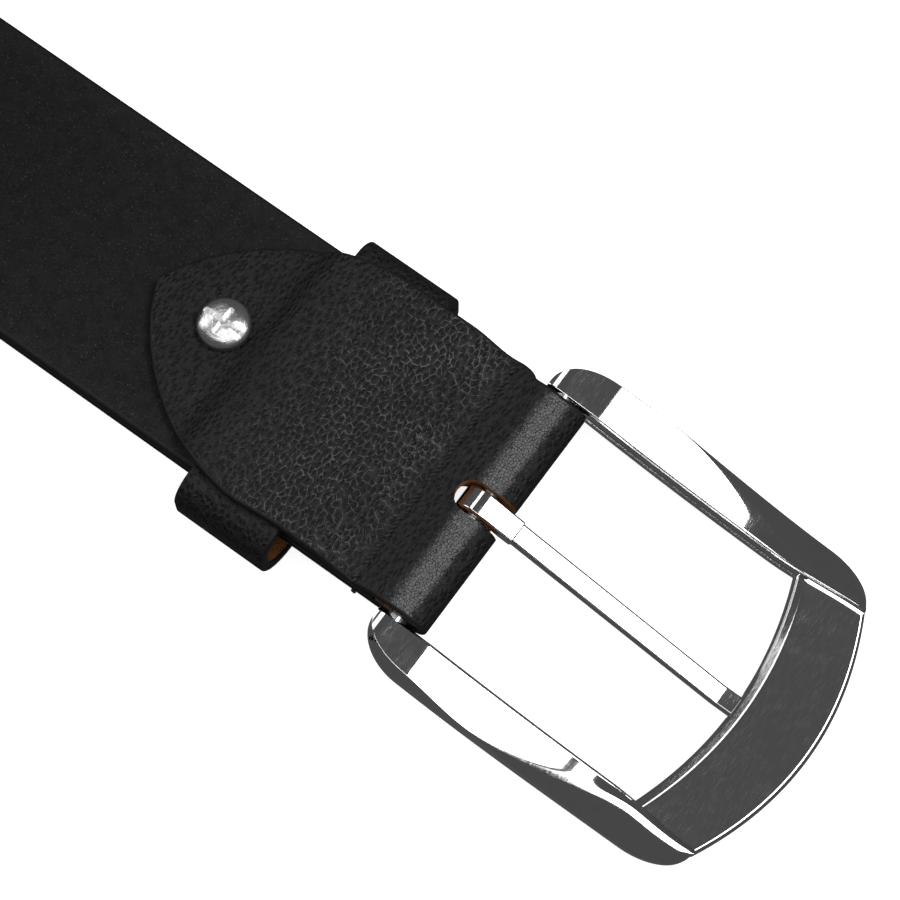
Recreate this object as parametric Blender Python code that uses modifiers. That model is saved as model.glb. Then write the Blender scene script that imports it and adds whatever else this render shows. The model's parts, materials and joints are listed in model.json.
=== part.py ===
"""A leather belt with a prong buckle, lying face down: the strap's end is folded round the
buckle's bar and held by a stitch line and a screw post, and the unseen length is rolled up.

Side view: X runs along the belt towards the buckle, Z is up and Y is across the strap.
While it is being modelled, the bar's axis stands over x = 0.
"""

import math

import bmesh
import bpy
from mathutils import Matrix, Vector

MM = 0.001
GAP = 0.3 * MM

# Strap: three bonded layers. The grain face lies down, the lining lies up.
STRAP_WIDTH = 38.6 * MM
BELT_LENGTH = 1100.0 * MM
FACE_THICKNESS = 1.5 * MM
FILLER_THICKNESS = 0.8 * MM
LINING_THICKNESS = 1.0 * MM
TIP_TAPER = 26.0 * MM
STRAP_THICKNESS = FACE_THICKNESS + FILLER_THICKNESS + LINING_THICKNESS + 2 * GAP
FILLER_OFFSET = FACE_THICKNESS + GAP
LINING_OFFSET = FILLER_OFFSET + FILLER_THICKNESS + GAP

# Bar, and the prong's curl round it.
BAR_DIAMETER = 3.0 * MM
PRONG_CURL_WALL = 1.4 * MM
BAR_HOLE_RADIUS = BAR_DIAMETER / 2 + GAP
PRONG_CURL_RADIUS = BAR_HOLE_RADIUS + PRONG_CURL_WALL

# Prong widths, with the slot in the fold and the notch in the end bar that take them.
PRONG_WIDTH = 3.2 * MM
PRONG_CURL_WIDTH = PRONG_WIDTH + 0.6 * MM
SLOT_CLEARANCE = 0.55 * MM
NOTCH_CLEARANCE = 0.6 * MM
SLOT_WIDTH = PRONG_CURL_WIDTH + 2 * SLOT_CLEARANCE
NOTCH_WIDTH = PRONG_WIDTH + 2 * NOTCH_CLEARANCE

# Where the layers begin in front of the bar's pocket, and the slot's two ends.
LINING_START = PRONG_CURL_RADIUS + 1.4 * MM
SLOT_BACK = PRONG_CURL_RADIUS + 0.7 * MM
SLOT_FRONT = LINING_START + 0.8 * MM

# Stitch line that closes the pocket.
THREAD_DIAMETER = 0.8 * MM
STITCH_PITCH = 4.9 * MM
STITCH_MARGIN = 2.0 * MM
STITCH_FROM_BAR = LINING_START + 3.2 * MM
STITCH_HOLES = int((STRAP_WIDTH - 2 * STITCH_MARGIN) / STITCH_PITCH) + 1
STITCH_HOLE_LENGTH = THREAD_DIAMETER + 1.8 * MM
THREAD_LIFT = THREAD_DIAMETER / 2 + GAP
THREAD_DIP = THREAD_LIFT + 0.6 * MM
THREAD_ENTRY = 0.95 * MM
THREAD_TURN = 0.25 * MM
THREAD_CORNER = 0.35 * MM
THREAD_TAIL_GAP = 1.2 * MM

# Screw post, through flap and strap.
SCREW_SHANK_DIAMETER = 3.0 * MM
POST_DIAMETER = SCREW_SHANK_DIAMETER + 2.0 * MM
POST_HEAD_DIAMETER = POST_DIAMETER + 4.5 * MM
POST_HEAD_HEIGHT = 1.3 * MM
POST_HEAD_CHAMFER = 0.5 * MM
POST_HOLE_DIAMETER = POST_DIAMETER + 2 * GAP
SCREW_HEAD_DIAMETER = POST_DIAMETER + 3.0 * MM
SCREW_HEAD_HEIGHT = 1.9 * MM
SCREW_HEAD_RIM = 0.45 * MM
SCREW_END_GAP = 1.2 * MM
POST_END_DROP = 0.2 * MM
SCREW_SLOT_WIDTH = 0.85 * MM
SCREW_SLOT_LENGTH = 6.9 * MM
SCREW_CROSS_LENGTH = 4.4 * MM
SCREW_SLOT_DEPTH = 1.0 * MM

# Keeper loop. The belt's tip goes through the space in front of the strap.
LOOP_THICKNESS = 1.7 * MM
LOOP_WIDTH = 15.5 * MM
LOOP_TIP_PLAY = 2.4 * MM
LOOP_SIDE_PLAY = 3.0 * MM
LOOP_TOP_CORNER = 2.6 * MM
LOOP_BOTTOM_CORNER = 5.0 * MM
LOOP_BUTT_GAP = 0.5 * MM
LOOP_PLAY_NEAR = 5.2 * MM
LOOP_PLAY_FAR = 0.6 * MM
LOOP_SPACE = STRAP_THICKNESS + LOOP_TIP_PLAY
LOOP_INNER_WIDTH = STRAP_WIDTH + 2 * LOOP_SIDE_PLAY
STAPLE_LENGTH = 9.0 * MM
STAPLE_WIDTH = 1.2 * MM
STAPLE_THICKNESS = 0.5 * MM
STAPLE_INSET = 3.75 * MM
STAPLE_LEG = LOOP_THICKNESS - STAPLE_THICKNESS - 0.1 * MM
STAPLE_SPACING = LOOP_WIDTH - 2 * STAPLE_INSET

# Flap: the folded end of the face leather. It rises from the stitches over the loop, falls to the
# screw and ends in an arched nose.
FLAP_OVERHANG = 0.9 * MM
FLAP_START = 1.0 * MM
FLAP_PRESS = 1.5 * MM
FLAP_RISE_START = 1.2 * MM
FLAP_RISE = 6.65 * MM
FLAP_FALL = 3.65 * MM
FLAP_BEYOND_SCREW = 11.8 * MM
NOSE_TAPER = 30.0 * MM
NOSE_POWER = 0.73
FLAP_WIDTH = STRAP_WIDTH + 2 * FLAP_OVERHANG
FLARE_START = SLOT_BACK + 0.3 * MM
FLARE_END = STITCH_FROM_BAR + 0.8 * MM
LOOP_NEAR = STITCH_FROM_BAR + FLAP_RISE_START + FLAP_RISE + LOOP_PLAY_NEAR
LOOP_FAR = LOOP_NEAR + LOOP_WIDTH
LOOP_FROM_BAR = (LOOP_NEAR + LOOP_FAR) / 2
FLAP_FALL_END = LOOP_FAR + LOOP_PLAY_FAR + FLAP_FALL
SCREW_FROM_BAR = FLAP_FALL_END + SCREW_HEAD_DIAMETER / 2
FLAP_LENGTH = SCREW_FROM_BAR + FLAP_BEYOND_SCREW

# Size holes near the tip.
SIZE_HOLES = 5
SIZE_HOLE_DIAMETER = 4.2 * MM
SIZE_HOLE_PITCH = 25.0 * MM
SIZE_HOLE_FROM_TIP = 90.0 * MM

# Buckle frame, in its own axes: u from the bar to the far end, v across, w towards the belt's
# back. WINDOW_PLAY is the room between the fold's edge and a rail.
WINDOW_LENGTH = 45.1 * MM
WINDOW_PLAY = 0.5 * MM
RAIL_WIDTH = 6.7 * MM
RAIL_FAR_WIDTH = 6.2 * MM
RAIL_OUTER_DROP = 2.3 * MM
RAIL_BACK_DROP = 0.6 * MM
RAIL_BACK = BAR_HOLE_RADIUS + 0.6 * MM
FRAME_FRONT = BAR_HOLE_RADIUS + 0.8 * MM
FRAME_BOW = 2.0 * MM
EAR_LENGTH = BAR_HOLE_RADIUS + 1.1 * MM
EAR_CORNER = 8.0 * MM
FINGER_CORNER = 8.5 * MM
FINGER_FLARE = 0.9 * MM
FINGER_FLARE_START = 8.0 * MM
RAIL_EDGE = 0.5 * MM
END_BAR_WIDTH = 12.3 * MM
END_BAR_SAG = 5.2 * MM
END_BAR_INNER_SAG = 4.3 * MM
END_BAR_BACK = 0.3 * MM
END_BAR_RIM = 1.1 * MM
END_BAR_RIM_HEIGHT = 0.4 * MM
END_BAR_OVERLAP = 1.4 * MM
END_BAR_CHAMFER = 0.5 * MM
BAR_COVER = 2.6 * MM
NOTCH_DEPTH = 1.0 * MM
WINDOW_WIDTH = STRAP_WIDTH + 2 * WINDOW_PLAY
BUCKLE_WIDTH = WINDOW_WIDTH + 2 * RAIL_WIDTH
BUCKLE_FAR_WIDTH = WINDOW_WIDTH + 2 * RAIL_FAR_WIDTH
FRAME_LENGTH = WINDOW_LENGTH + END_BAR_WIDTH
FINGER_LENGTH = WINDOW_LENGTH + 6.8 * MM

# Prong, which ends below the end bar.
PRONG_THICKNESS = 2.0 * MM
PRONG_TIP_THICKNESS = 1.5 * MM
PRONG_HEEL_BACK = 2.0 * MM
PRONG_HEEL_STEP = 0.4 * MM
PRONG_STEP_SLOPE = 0.3 * MM
PRONG_STEP = PRONG_CURL_RADIUS + 3.2 * MM
PRONG_BEND = WINDOW_LENGTH - 3.0 * MM
PRONG_LENGTH = WINDOW_LENGTH + 9.4 * MM

# Flat length behind the bar, the dip to the surface below, and the roll of the rest.
FLAT_LENGTH = FLAP_LENGTH + 44.6 * MM
DIP_LENGTH = 50.0 * MM
ROLL_INNER_RADIUS = 14.0 * MM
ROLL_TURN_GAP = 0.6 * MM
STATIONS_A_TURN = 24
ROLL_PITCH = STRAP_THICKNESS + ROLL_TURN_GAP
ROLL_LENGTH = BELT_LENGTH - FLAT_LENGTH - DIP_LENGTH
ROLL_RATE = ROLL_PITCH / (2 * math.pi)
ROLL_RADIUS = math.sqrt(ROLL_INNER_RADIUS**2 + 2 * ROLL_RATE * ROLL_LENGTH)
ROLL_CENTRE = Vector((-(FLAT_LENGTH + DIP_LENGTH), 0.0, ROLL_RADIUS))

# Heights over the surface on which the belt lies.
STRAP_FRONT = LOOP_THICKNESS + LOOP_SPACE
STRAP_BACK = STRAP_FRONT + STRAP_THICKNESS
FOLD_RADIUS = BAR_HOLE_RADIUS + FACE_THICKNESS
FOLD_LENGTH = math.pi * FOLD_RADIUS
BAR_HEIGHT = STRAP_FRONT + FOLD_RADIUS
FLAP_ON_STRAP = STRAP_BACK + GAP + FACE_THICKNESS
FLAP_ON_LOOP = FLAP_ON_STRAP + LOOP_THICKNESS + GAP

# Cutters reach this far, which is more than a layer's or the loop's thickness.
CUT_THROUGH = 4 * (STRAP_THICKNESS + LOOP_THICKNESS)

parts = bpy.data.collections.new("leather_belt")
cutters = bpy.data.collections.new("cutters")


def clear_scene():
    for obj in list(bpy.data.objects):
        bpy.data.objects.remove(obj, do_unlink=True)
    bpy.context.scene.collection.children.link(parts)
    bpy.context.scene.collection.children.link(cutters)


def material(name, colour, roughness, metallic=0.0):
    made = bpy.data.materials.new(name)
    made.use_nodes = True
    shader = made.node_tree.nodes["Principled BSDF"]
    shader.inputs["Base Color"].default_value = (*colour, 1.0)
    shader.inputs["Roughness"].default_value = roughness
    shader.inputs["Metallic"].default_value = metallic
    return made


def smoothstep(value, start, end):
    share = min(max((value - start) / (end - start), 0.0), 1.0)
    return share * share * (3 - 2 * share)


def add_object(name, mesh, collection=None, finish=None, parent=None, angle=35.0):
    obj = bpy.data.objects.new(name, mesh)
    (collection or parts).objects.link(obj)
    if finish:
        mesh.materials.append(finish)
    if parent:
        obj.parent = parent
    mesh.shade_smooth()
    mesh.set_sharp_from_angle(angle=math.radians(angle))
    return obj


def bow(u):
    """The frame curves towards the belt's front between the bar and its far end."""
    share = u / FRAME_LENGTH
    return -4 * FRAME_BOW * share * (1 - share)


def prong_tip_back(u):
    """Height of the prong's back where it lies along the notch in the end bar."""
    return bow(u) - FRAME_FRONT + NOTCH_DEPTH - GAP


def resting_pitch():
    """How far the buckle turns down about the bar until its prong meets the surface."""
    pitches = []
    for u in (PRONG_BEND, PRONG_LENGTH):
        depth = PRONG_TIP_THICKNESS - prong_tip_back(u)
        pitches.append(math.asin(BAR_HEIGHT / math.hypot(u, depth)) - math.atan2(depth, u))
    return min(pitches)


def mesh_from(bm, name):
    bmesh.ops.recalc_face_normals(bm, faces=bm.faces)
    mesh = bpy.data.meshes.new(name)
    bm.to_mesh(mesh)
    bm.free()
    return mesh


def as_cutter(obj):
    obj.hide_render = True
    obj.display_type = "WIRE"
    return obj


def cylinder(name, diameter, length, centre, sides=24, across=False):
    """A cylinder that stands upright, or lies across the strap."""
    bm = bmesh.new()
    radius = diameter / 2
    bmesh.ops.create_cone(bm, cap_ends=True, segments=sides, radius1=radius, radius2=radius, depth=length)
    turn = Matrix.Rotation(math.pi / 2, 4, "X") if across else Matrix()
    bmesh.ops.transform(bm, matrix=Matrix.Translation(centre) @ turn, verts=bm.verts)
    return mesh_from(bm, name)


def block(name, size, centre):
    bm = bmesh.new()
    bmesh.ops.create_cube(bm, size=1.0)
    bmesh.ops.transform(
        bm, matrix=Matrix.Translation(centre) @ Matrix.Diagonal((*size, 1.0)), verts=bm.verts
    )
    return mesh_from(bm, name)


def prism(name, outline, depth, axes):
    """A flat outline, pushed to both sides by half its depth. axes(a, b, c) places its points."""
    bm = bmesh.new()
    near = [bm.verts.new(axes(a, b, -depth / 2)) for a, b in outline]
    far = [bm.verts.new(axes(a, b, depth / 2)) for a, b in outline]
    bm.faces.new(near)
    bm.faces.new(list(reversed(far)))
    count = len(outline)
    for index in range(count):
        following = (index + 1) % count
        bm.faces.new((near[index], near[following], far[following], far[index]))
    return mesh_from(bm, name)


def loft(name, sections):
    """A closed solid through sections that have the same number of points."""
    bm = bmesh.new()
    rings = [[bm.verts.new(point) for point in section] for section in sections]
    count = len(rings[0])
    for ring, following in zip(rings, rings[1:]):
        for index in range(count):
            beside = (index + 1) % count
            bm.faces.new((ring[index], ring[beside], following[beside], following[index]))
    bm.faces.new(rings[0])
    bm.faces.new(list(reversed(rings[-1])))
    return mesh_from(bm, name)


def cut(obj, cutter_meshes):
    """Takes the cutters out of an object and leaves the result as its plain mesh."""
    for number, mesh in enumerate(cutter_meshes):
        cutter = as_cutter(add_object(f"{obj.name}_cutter_{number}", mesh, cutters, parent=obj.parent))
        modifier = obj.modifiers.new(f"cut_{number}", "BOOLEAN")
        modifier.operation = "DIFFERENCE"
        modifier.object = cutter
    return obj


def flatten_modifiers(obj):
    """Replaces an object's mesh by the one its modifiers make, in triangles."""
    bpy.context.view_layer.update()
    graph = bpy.context.evaluated_depsgraph_get()
    mesh = bpy.data.meshes.new_from_object(obj.evaluated_get(graph))
    obj.modifiers.clear()
    obj.data = mesh
    bm = bmesh.new()
    bm.from_mesh(mesh)
    bmesh.ops.triangulate(bm, faces=bm.faces)
    bm.to_mesh(mesh)
    bm.free()
    return obj


# The strap's route, as (s, inward offset) to a point. s is 0 under the bar and grows towards the
# tip. Below 0 it runs round the fold, and past the fold along the flap.


def flap_height(from_bar):
    """Height of the flap's grain side: fold, stitch line, over the loop, down to the screw."""
    height = BAR_HEIGHT + FOLD_RADIUS
    height += (FLAP_ON_STRAP - height) * smoothstep(from_bar, FLAP_START, STITCH_FROM_BAR - FLAP_PRESS)
    rise = smoothstep(from_bar, STITCH_FROM_BAR + FLAP_RISE_START, LOOP_NEAR - LOOP_PLAY_NEAR)
    fall = smoothstep(from_bar, LOOP_FAR + LOOP_PLAY_FAR, FLAP_FALL_END)
    return height + (FLAP_ON_LOOP - FLAP_ON_STRAP) * rise * (1 - fall)


def dip_height(s):
    share = (s - FLAT_LENGTH) / DIP_LENGTH
    return STRAP_FRONT * (1 + math.cos(math.pi * share)) / 2


def roll_angle(s):
    along = s - FLAT_LENGTH - DIP_LENGTH
    return (ROLL_RADIUS - math.sqrt(ROLL_RADIUS**2 - 2 * ROLL_RATE * along)) / ROLL_RATE


def roll_distance(angle):
    return FLAT_LENGTH + DIP_LENGTH + ROLL_RADIUS * angle - ROLL_RATE * angle**2 / 2


def on_strap(s, y, inward):
    if s <= -FOLD_LENGTH:
        from_bar = -s - FOLD_LENGTH
        return Vector((-from_bar, y, flap_height(from_bar) - inward))
    if s < 0:
        angle = -s / FOLD_RADIUS
        radius = FOLD_RADIUS - inward
        return Vector((radius * math.sin(angle), y, BAR_HEIGHT - radius * math.cos(angle)))
    if s <= FLAT_LENGTH:
        return Vector((-s, y, STRAP_FRONT + inward))
    if s <= FLAT_LENGTH + DIP_LENGTH:
        step = 0.1 * MM
        slope = (dip_height(s + step) - dip_height(s - step)) / (2 * step)
        length = math.hypot(1.0, slope)
        return Vector((-s + inward * slope / length, y, dip_height(s) + inward / length))
    angle = roll_angle(s)
    radius = ROLL_RADIUS - ROLL_RATE * angle - inward
    return ROLL_CENTRE + Vector((-radius * math.sin(angle), y, -radius * math.cos(angle)))


def on_flap(from_bar):
    """The route's s at a distance behind the bar, on the flap."""
    return -FOLD_LENGTH - from_bar


def nose_share(from_end, taper):
    """Half width of a tapered end, as a share: blunt at the very end, full after the taper."""
    share = min(max(from_end / taper, 0.0), 1.0)
    return max((1 - (1 - share) ** 2) ** NOSE_POWER, 0.02)


def half_width(s):
    if s < 0:
        from_bar = max(-s - FOLD_LENGTH, 0.0)
        width = STRAP_WIDTH + (FLAP_WIDTH - STRAP_WIDTH) * smoothstep(from_bar, FLARE_START, FLARE_END)
        return width / 2 * nose_share(FLAP_LENGTH - from_bar, NOSE_TAPER)
    return STRAP_WIDTH / 2 * nose_share(BELT_LENGTH - s, TIP_TAPER)


def spread(start, end, count):
    return [start + (end - start) * index / count for index in range(count + 1)]


def tapered_end(end, taper):
    """Stations of a tapered end, closer together towards the end."""
    return [end + taper * share for share in (0.0, 0.015, 0.05, 0.11, 0.2, 0.33, 0.5, 0.72)]


def strap_stations():
    stations = spread(FLAT_LENGTH, FLAT_LENGTH + DIP_LENGTH, 14)
    stations += [STITCH_FROM_BAR, LOOP_NEAR - LOOP_PLAY_NEAR, LOOP_NEAR, LOOP_FAR, SCREW_FROM_BAR]
    turns = roll_angle(BELT_LENGTH) / (2 * math.pi)
    for index in range(1, int(turns * STATIONS_A_TURN) + 1):
        stations.append(roll_distance(index * 2 * math.pi / STATIONS_A_TURN))
    stations = [s for s in stations if s < BELT_LENGTH - TIP_TAPER]
    return stations + tapered_end(BELT_LENGTH, -TIP_TAPER)


def fold_stations():
    blunt = FLAP_LENGTH - 0.3 * NOSE_TAPER
    stations = spread(-FOLD_LENGTH, 0.0, 14)
    stations += [on_flap(x) for x in spread(FLAP_START, blunt, 36)]
    return stations + [on_flap(x) for x in tapered_end(FLAP_LENGTH, -NOSE_TAPER) if x > blunt]


def round_hole(s, y, diameter, sides=20):
    return cylinder("hole", diameter, CUT_THROUGH, (s, y, 0.0), sides)


def stitch_positions():
    first = -STITCH_PITCH * (STITCH_HOLES - 1) / 2
    return [first + STITCH_PITCH * index for index in range(STITCH_HOLES)]


def stitch_holes(s):
    """Holes a little longer than wide, because the thread enters them at a slant."""
    radius = THREAD_DIAMETER / 2 + GAP
    reach = STITCH_HOLE_LENGTH / 2 - radius
    arc = spread(0.0, math.pi, 4)
    holes = []
    for y in stitch_positions():
        outline = [(s + radius * math.cos(a), y + reach + radius * math.sin(a)) for a in arc]
        outline += [(s - radius * math.cos(a), y - reach - radius * math.sin(a)) for a in arc]
        holes.append(prism("stitch_hole", outline, CUT_THROUGH, lambda a, b, c: (a, b, c)))
    return holes


def size_holes():
    first = BELT_LENGTH - SIZE_HOLE_FROM_TIP
    places = [first - SIZE_HOLE_PITCH * index for index in range(SIZE_HOLES)]
    return [round_hole(s, 0.0, SIZE_HOLE_DIAMETER, 16) for s in places]


def prong_slot():
    """A slot with round ends, lengthwise over the fold."""
    radius = SLOT_WIDTH / 2
    start = on_flap(SLOT_BACK) + radius
    end = SLOT_FRONT - radius
    arc = spread(-math.pi / 2, math.pi / 2, 8)
    outline = [(end + radius * math.cos(a), radius * math.sin(a)) for a in arc]
    outline += [(start - radius * math.cos(a), -radius * math.sin(a)) for a in arc]
    return prism("slot", outline, CUT_THROUGH, lambda a, b, c: (a, b, c))


def layer(name, stations, offset, thickness, holes, finish, root):
    """One layer of the strap: made flat, cut while it is flat, then bent along the route."""
    stations = sorted(set(round(s, 7) for s in stations))
    sections = []
    for s in stations:
        half = half_width(s)
        low = [(s, -half, 0.0), (s, half, 0.0)]
        high = [(s, half, thickness), (s, -half, thickness)]
        sections.append(low + high)
    obj = add_object(name, loft(name, sections), finish=finish)
    obj = flatten_modifiers(cut(obj, holes))
    for vertex in obj.data.vertices:
        s, y, inward = vertex.co
        vertex.co = on_strap(s, y, offset + inward)
    bm = bmesh.new()
    bm.from_mesh(obj.data)
    bmesh.ops.recalc_face_normals(bm, faces=bm.faces)
    bm.to_mesh(obj.data)
    bm.free()
    obj.parent = root
    obj.data.shade_smooth()
    obj.data.set_sharp_from_angle(angle=math.radians(35))
    return obj


def strap_holes():
    """New cutters for the holes that go through every layer of the strap."""
    post_hole = round_hole(SCREW_FROM_BAR, 0.0, POST_HOLE_DIAMETER)
    return stitch_holes(STITCH_FROM_BAR) + size_holes() + [post_hole]


def flap_holes():
    post_hole = round_hole(on_flap(SCREW_FROM_BAR), 0.0, POST_HOLE_DIAMETER)
    return stitch_holes(on_flap(STITCH_FROM_BAR)) + [post_hole, prong_slot()]


def build_strap(root, leather, board, lining):
    whole = strap_stations() + fold_stations()
    inner = strap_stations() + [LINING_START]
    holes = strap_holes() + flap_holes()
    layer("strap_face_leather", whole, 0.0, FACE_THICKNESS, holes, leather, root)
    layer("strap_filler", inner, FILLER_OFFSET, FILLER_THICKNESS, strap_holes(), board, root)
    layer("strap_lining", inner, LINING_OFFSET, LINING_THICKNESS, strap_holes(), lining, root)


def thread_tube(name, points, finish, root):
    """A thread as a tube through its points, laid by hand as a curve with a bevel."""
    curve = bpy.data.curves.new(name, "CURVE")
    curve.dimensions = "3D"
    curve.bevel_depth = THREAD_DIAMETER / 2
    curve.bevel_resolution = 1
    curve.use_fill_caps = True
    spline = curve.splines.new("POLY")
    spline.points.add(len(points) - 1)
    for slot, point in zip(spline.points, points):
        slot.co = (*point, 1.0)
    obj = bpy.data.objects.new(name, curve)
    parts.objects.link(obj)
    curve.materials.append(finish)
    obj.parent = root
    return obj


def mirrored(points):
    return [(x, -y, z) for x, y, z in reversed(points)]


def build_threads(root, finish):
    """Two threads of a lock stitch. Each dips into the holes, and both go round the edges."""
    x = -STITCH_FROM_BAR
    back = FLAP_ON_STRAP + THREAD_LIFT
    front = STRAP_FRONT - THREAD_LIFT
    middle = (front + back) / 2
    edge = half_width(on_flap(STITCH_FROM_BAR)) + THREAD_LIFT

    def run(level, dip):
        points = []
        for y in stitch_positions():
            points += [(x, y - THREAD_ENTRY, level), (x, y - THREAD_TURN, level + dip)]
            points += [(x, y + THREAD_TURN, level + dip), (x, y + THREAD_ENTRY, level)]
        return points

    def tail(level, towards):
        end = middle - towards * THREAD_TAIL_GAP
        before_corner = level + towards * THREAD_CORNER
        return [(x, -edge, end), (x, -edge, before_corner), (x, -edge + THREAD_CORNER, level)]

    over = tail(back, -1)
    thread_tube("stitch_thread_back", over + run(back, -THREAD_DIP) + mirrored(over), finish, root)
    under = tail(front, 1)
    thread_tube("stitch_thread_front", under + run(front, THREAD_DIP) + mirrored(under), finish, root)


def turned(name, profile, centre, finish, root, steps=32):
    """A solid turned from a profile of (radius, height) that runs top to bottom on its outer side."""
    mesh = bpy.data.meshes.new(name)
    mesh.from_pydata([(r, 0.0, z) for r, z in profile], [(i, i + 1) for i in range(len(profile) - 1)], [])
    obj = add_object(name, mesh, finish=finish, parent=root)
    obj.location = centre
    screw = obj.modifiers.new("turn", "SCREW")
    screw.axis = "Z"
    screw.steps = steps
    screw.render_steps = steps
    screw.use_merge_vertices = True
    screw.merge_threshold = 0.00001
    screw.use_smooth_shade = True
    return obj


def build_screw(root, bright):
    """The screw's head sits on the flap, and the post's head on the strap's grain side."""
    seat = FLAP_ON_STRAP + GAP
    head = SCREW_HEAD_DIAMETER / 2
    rim = seat + SCREW_HEAD_RIM
    top = seat + SCREW_HEAD_HEIGHT
    angles = spread(0.0, math.pi / 2, 7)[1:]
    dome = [(0.0, top)] + [(head * math.sin(a), rim + (top - rim) * math.cos(a)) for a in angles]
    shank = SCREW_SHANK_DIAMETER / 2
    shank_end = STRAP_FRONT + SCREW_END_GAP
    profile = dome + [(head, seat), (shank, seat), (shank, shank_end), (0.0, shank_end)]
    centre = (-SCREW_FROM_BAR, 0.0, 0.0)
    male = turned("screw_male", profile, centre, bright, root)
    male = flatten_modifiers(male)
    depth = 2 * SCREW_SLOT_DEPTH
    slot_centre = (-SCREW_FROM_BAR, 0.0, top)
    slot = block("slot", (SCREW_SLOT_LENGTH, SCREW_SLOT_WIDTH, depth), slot_centre)
    cross = block("cross", (SCREW_SLOT_WIDTH, SCREW_CROSS_LENGTH, depth), slot_centre)
    cut(male, [slot, cross])

    floor = STRAP_FRONT - GAP
    outer = POST_HEAD_DIAMETER / 2
    barrel = POST_DIAMETER / 2
    bore = shank + GAP
    bottom = floor - POST_HEAD_HEIGHT
    post_end = FLAP_ON_STRAP - POST_END_DROP
    bore_floor = shank_end - GAP
    post = [(0.0, bore_floor), (bore, bore_floor), (bore, post_end), (barrel, post_end)]
    post += [(barrel, floor), (outer, floor), (outer, bottom + POST_HEAD_CHAMFER)]
    post += [(outer - POST_HEAD_CHAMFER, bottom), (0.0, bottom)]
    turned("screw_post", post, centre, bright, root)


def loop_path(offset):
    """The keeper loop's section, from its butt joint round to the other side of it."""
    half = LOOP_INNER_WIDTH / 2 + offset
    top = STRAP_BACK + GAP + offset
    bottom = LOOP_THICKNESS - offset
    upper = LOOP_TOP_CORNER + offset
    lower = LOOP_BOTTOM_CORNER + offset
    corners = [
        (half - upper, top - upper, upper, math.pi / 2),
        (half - lower, bottom + lower, lower, 0.0),
        (-half + lower, bottom + lower, lower, -math.pi / 2),
        (-half + upper, top - upper, upper, -math.pi),
    ]
    points = [(LOOP_BUTT_GAP / 2, top)]
    for y, z, radius, start in corners:
        angles = spread(start, start - math.pi / 2, 7)
        points += [(y + radius * math.cos(a), z + radius * math.sin(a)) for a in angles]
    points.append((-LOOP_BUTT_GAP / 2, top))
    return points


def staple_centres():
    return [-LOOP_FROM_BAR + side * STAPLE_SPACING / 2 for side in (-1, 1)]


def build_loop(root, leather, steel):
    outline = loop_path(LOOP_THICKNESS) + list(reversed(loop_path(0.0)))
    centre = -LOOP_FROM_BAR
    mesh = prism("keeper_loop", outline, LOOP_WIDTH, lambda a, b, c: (centre + c, a, b))
    loop = add_object("keeper_loop", mesh, finish=leather, parent=root)
    top = STRAP_BACK + GAP + LOOP_THICKNESS
    recess = STAPLE_THICKNESS + GAP
    leg = STAPLE_THICKNESS + 2 * GAP
    holes = []
    for x in staple_centres():
        width = STAPLE_WIDTH + 2 * GAP
        holes.append(block("recess", (width, STAPLE_LENGTH + 2 * GAP, 2 * recess), (x, 0.0, top)))
        for side in (-1, 1):
            y = side * (STAPLE_LENGTH - STAPLE_THICKNESS) / 2
            holes.append(block("leg", (width, leg, 2 * (LOOP_THICKNESS + GAP)), (x, y, top)))
    cut(loop, holes)

    crown = top - STAPLE_THICKNESS
    half = STAPLE_LENGTH / 2
    inner = half - STAPLE_THICKNESS
    foot = top - STAPLE_THICKNESS - STAPLE_LEG
    u_shape = [(-half, foot), (-half, top), (half, top), (half, foot)]
    u_shape += [(inner, foot), (inner, crown), (-inner, crown), (-inner, foot)]
    for number, x in enumerate(staple_centres(), 1):
        name = f"keeper_staple_{number}"
        staple = prism(name, u_shape, STAPLE_WIDTH, lambda a, b, c: (x + c, a, b))
        add_object(name, staple, finish=steel, parent=root)


def corner_share(along, length):
    """How much of a rail's width its rounded end takes away, at a distance from that end."""
    share = min(max(along / length, 0.0), 1.0)
    return 1 - math.sqrt(1 - (1 - share) ** 2)


def rail_section(u):
    """One rail's section at u, as (v, w) points: its inner side is upright, and the back face is
    flat near the bar and slopes outwards more and more towards the far end."""
    inner = WINDOW_WIDTH / 2
    inner += FINGER_FLARE * smoothstep(u, WINDOW_LENGTH - FINGER_FLARE_START, FINGER_LENGTH)
    narrowing = (BUCKLE_WIDTH - BUCKLE_FAR_WIDTH) / 2 * smoothstep(u, 0.2 * WINDOW_LENGTH, FINGER_LENGTH)
    outer = BUCKLE_WIDTH / 2 - narrowing
    cut_off = 0.82 * corner_share(u + EAR_LENGTH, EAR_CORNER)
    cut_off += 0.9 * corner_share(FINGER_LENGTH - u, FINGER_CORNER)
    outer -= cut_off * (outer - inner)
    width = outer - inner
    back = RAIL_BACK - RAIL_BACK_DROP * smoothstep(u, 0.2 * WINDOW_LENGTH, FINGER_LENGTH)
    drop = RAIL_OUTER_DROP * smoothstep(u, 0.15 * WINDOW_LENGTH, 0.97 * WINDOW_LENGTH)
    crease = outer - 0.85 * width * smoothstep(u, 0.22 * WINDOW_LENGTH, 0.89 * WINDOW_LENGTH)
    edge = min(RAIL_EDGE, width / 5)
    section = [
        (inner, -FRAME_FRONT + edge),
        (inner, back - edge),
        (inner + edge, back),
        (max(crease - edge, inner + 1.5 * edge), back),
        (outer - edge / 2, back - drop - edge / 2),
        (outer, back - drop - edge * 1.5),
        (outer, -FRAME_FRONT + 1.2 * edge),
        (outer - 1.2 * edge, -FRAME_FRONT),
        (inner + edge, -FRAME_FRONT),
    ]
    return [(v, w + bow(u)) for v, w in section]


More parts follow.
